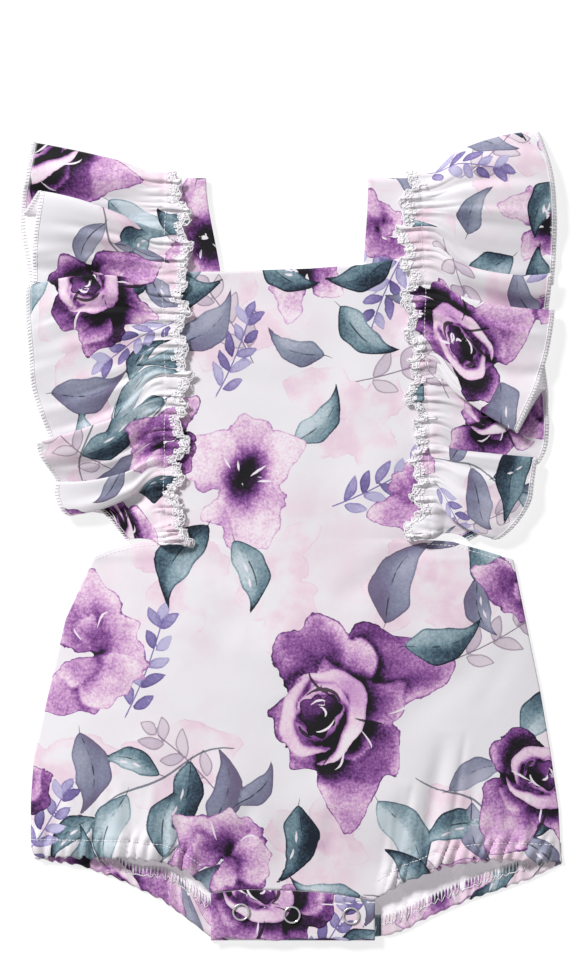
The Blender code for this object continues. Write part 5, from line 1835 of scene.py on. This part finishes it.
# %% [markdown]
# ## Floor and light
#
# The garment lies on a plain pale table that is lit from below as well, which all but
# clears its shadow away. A soft lamp above and to one side shades the folds gently, and an
# even white surrounding fills the shadows, as a light tent does. A lamp straight above would
# hide every fold.

# %% Floor
FLOOR_SIZE, FLOOR_LEVEL = 6.0, -0.0002      # metres; just under the cloth
TABLE_GLOW = 0.75
TABLE_GREY, TABLE_SHADE = (0.30, 0.30, 0.30, 1), (0.285, 0.285, 0.285, 1)
TABLE_GRAIN = 400.0
WHITE = (1.0, 1.0, 1.0, 1.0)

bpy.ops.object.select_all(action="DESELECT")
bpy.ops.mesh.primitive_plane_add(size=FLOOR_SIZE, location=(0, 0, FLOOR_LEVEL))
floor = bpy.context.object
floor.name = "floor"
floor_finish = Finish("lit_table", Roughness=0.9, Emission_Strength=TABLE_GLOW)
floor_finish.set("Base Color", floor_finish.mix(floor_finish.noise(TABLE_GRAIN), TABLE_GREY,
                                                TABLE_SHADE))
floor_finish.set("Emission Color", WHITE)
floor.data.materials.append(floor_finish.material)
print("table glow:", TABLE_GLOW)

# %% Light
LAMP_PLACE, LAMP_SIZE, LAMP_POWER = (-2.2, 2.4, 2.9), 0.9, 179.0    # metres, metres, watts
SURROUND = 0.34

bpy.ops.object.light_add(type="AREA", location=LAMP_PLACE)
lamp = bpy.context.object
lamp.name = "soft_lamp"
lamp.data.shape = "DISK"
lamp.data.size = LAMP_SIZE
lamp.data.energy = LAMP_POWER
aim = -np.array(LAMP_PLACE)
aside = math.hypot(aim[0], aim[1])
lamp.rotation_euler = (math.atan2(aside, -aim[2]), 0.0,
                       math.atan2(aim[1], aim[0]) - math.pi / 2)
world = bpy.data.worlds.new("light_tent")
world.use_nodes = True
background = world.node_tree.nodes["Background"]
background.inputs["Color"].default_value = WHITE
background.inputs["Strength"].default_value = SURROUND
bpy.context.scene.world = world
bpy.context.scene.view_settings.view_transform = "Standard"
print("lamp over the floor:", round(math.degrees(math.atan2(-aim[2], aside))), "degrees")

# %% [markdown]
# ## Cloth as it was cut
#
# Each piece of cloth was cut flat before it was sewn: the panels as wide shapes, the ruffles
# as strips with tapered ends, half as long again as the line that they are gathered on. The
# surface of each finished piece is printed beside its cut, and the two have to agree.

# %% Cut sizes
PER_CM2, CM2_PER_M2 = 100, 1e4      # square millimetres, and square centimetres


def cut(shell, width, length, area=None):
    """Prints a piece's surface beside its cut, in square centimetres."""
    surface = sum(face.area for face in shell.object.data.polygons) / 2 * CM2_PER_M2
    stated = (area or width * length) / PER_CM2
    print(shell.name, "surface", round(surface), "of a cut of", round(stated))


# Width and length of each cut, and its area where it isn't a rectangle.
cut(front, 316, 372,
    area=79000)
cut(back, 316, 224, area=60000)
for side_name, strap in straps.items():
    cut(strap, 31, 268)
    ruffle = ruffles[side_name]
    cut(ruffle, 88, 530,
        area=43000)
cut(front_band, 87, 48)
cut(back_band, 87, 26)
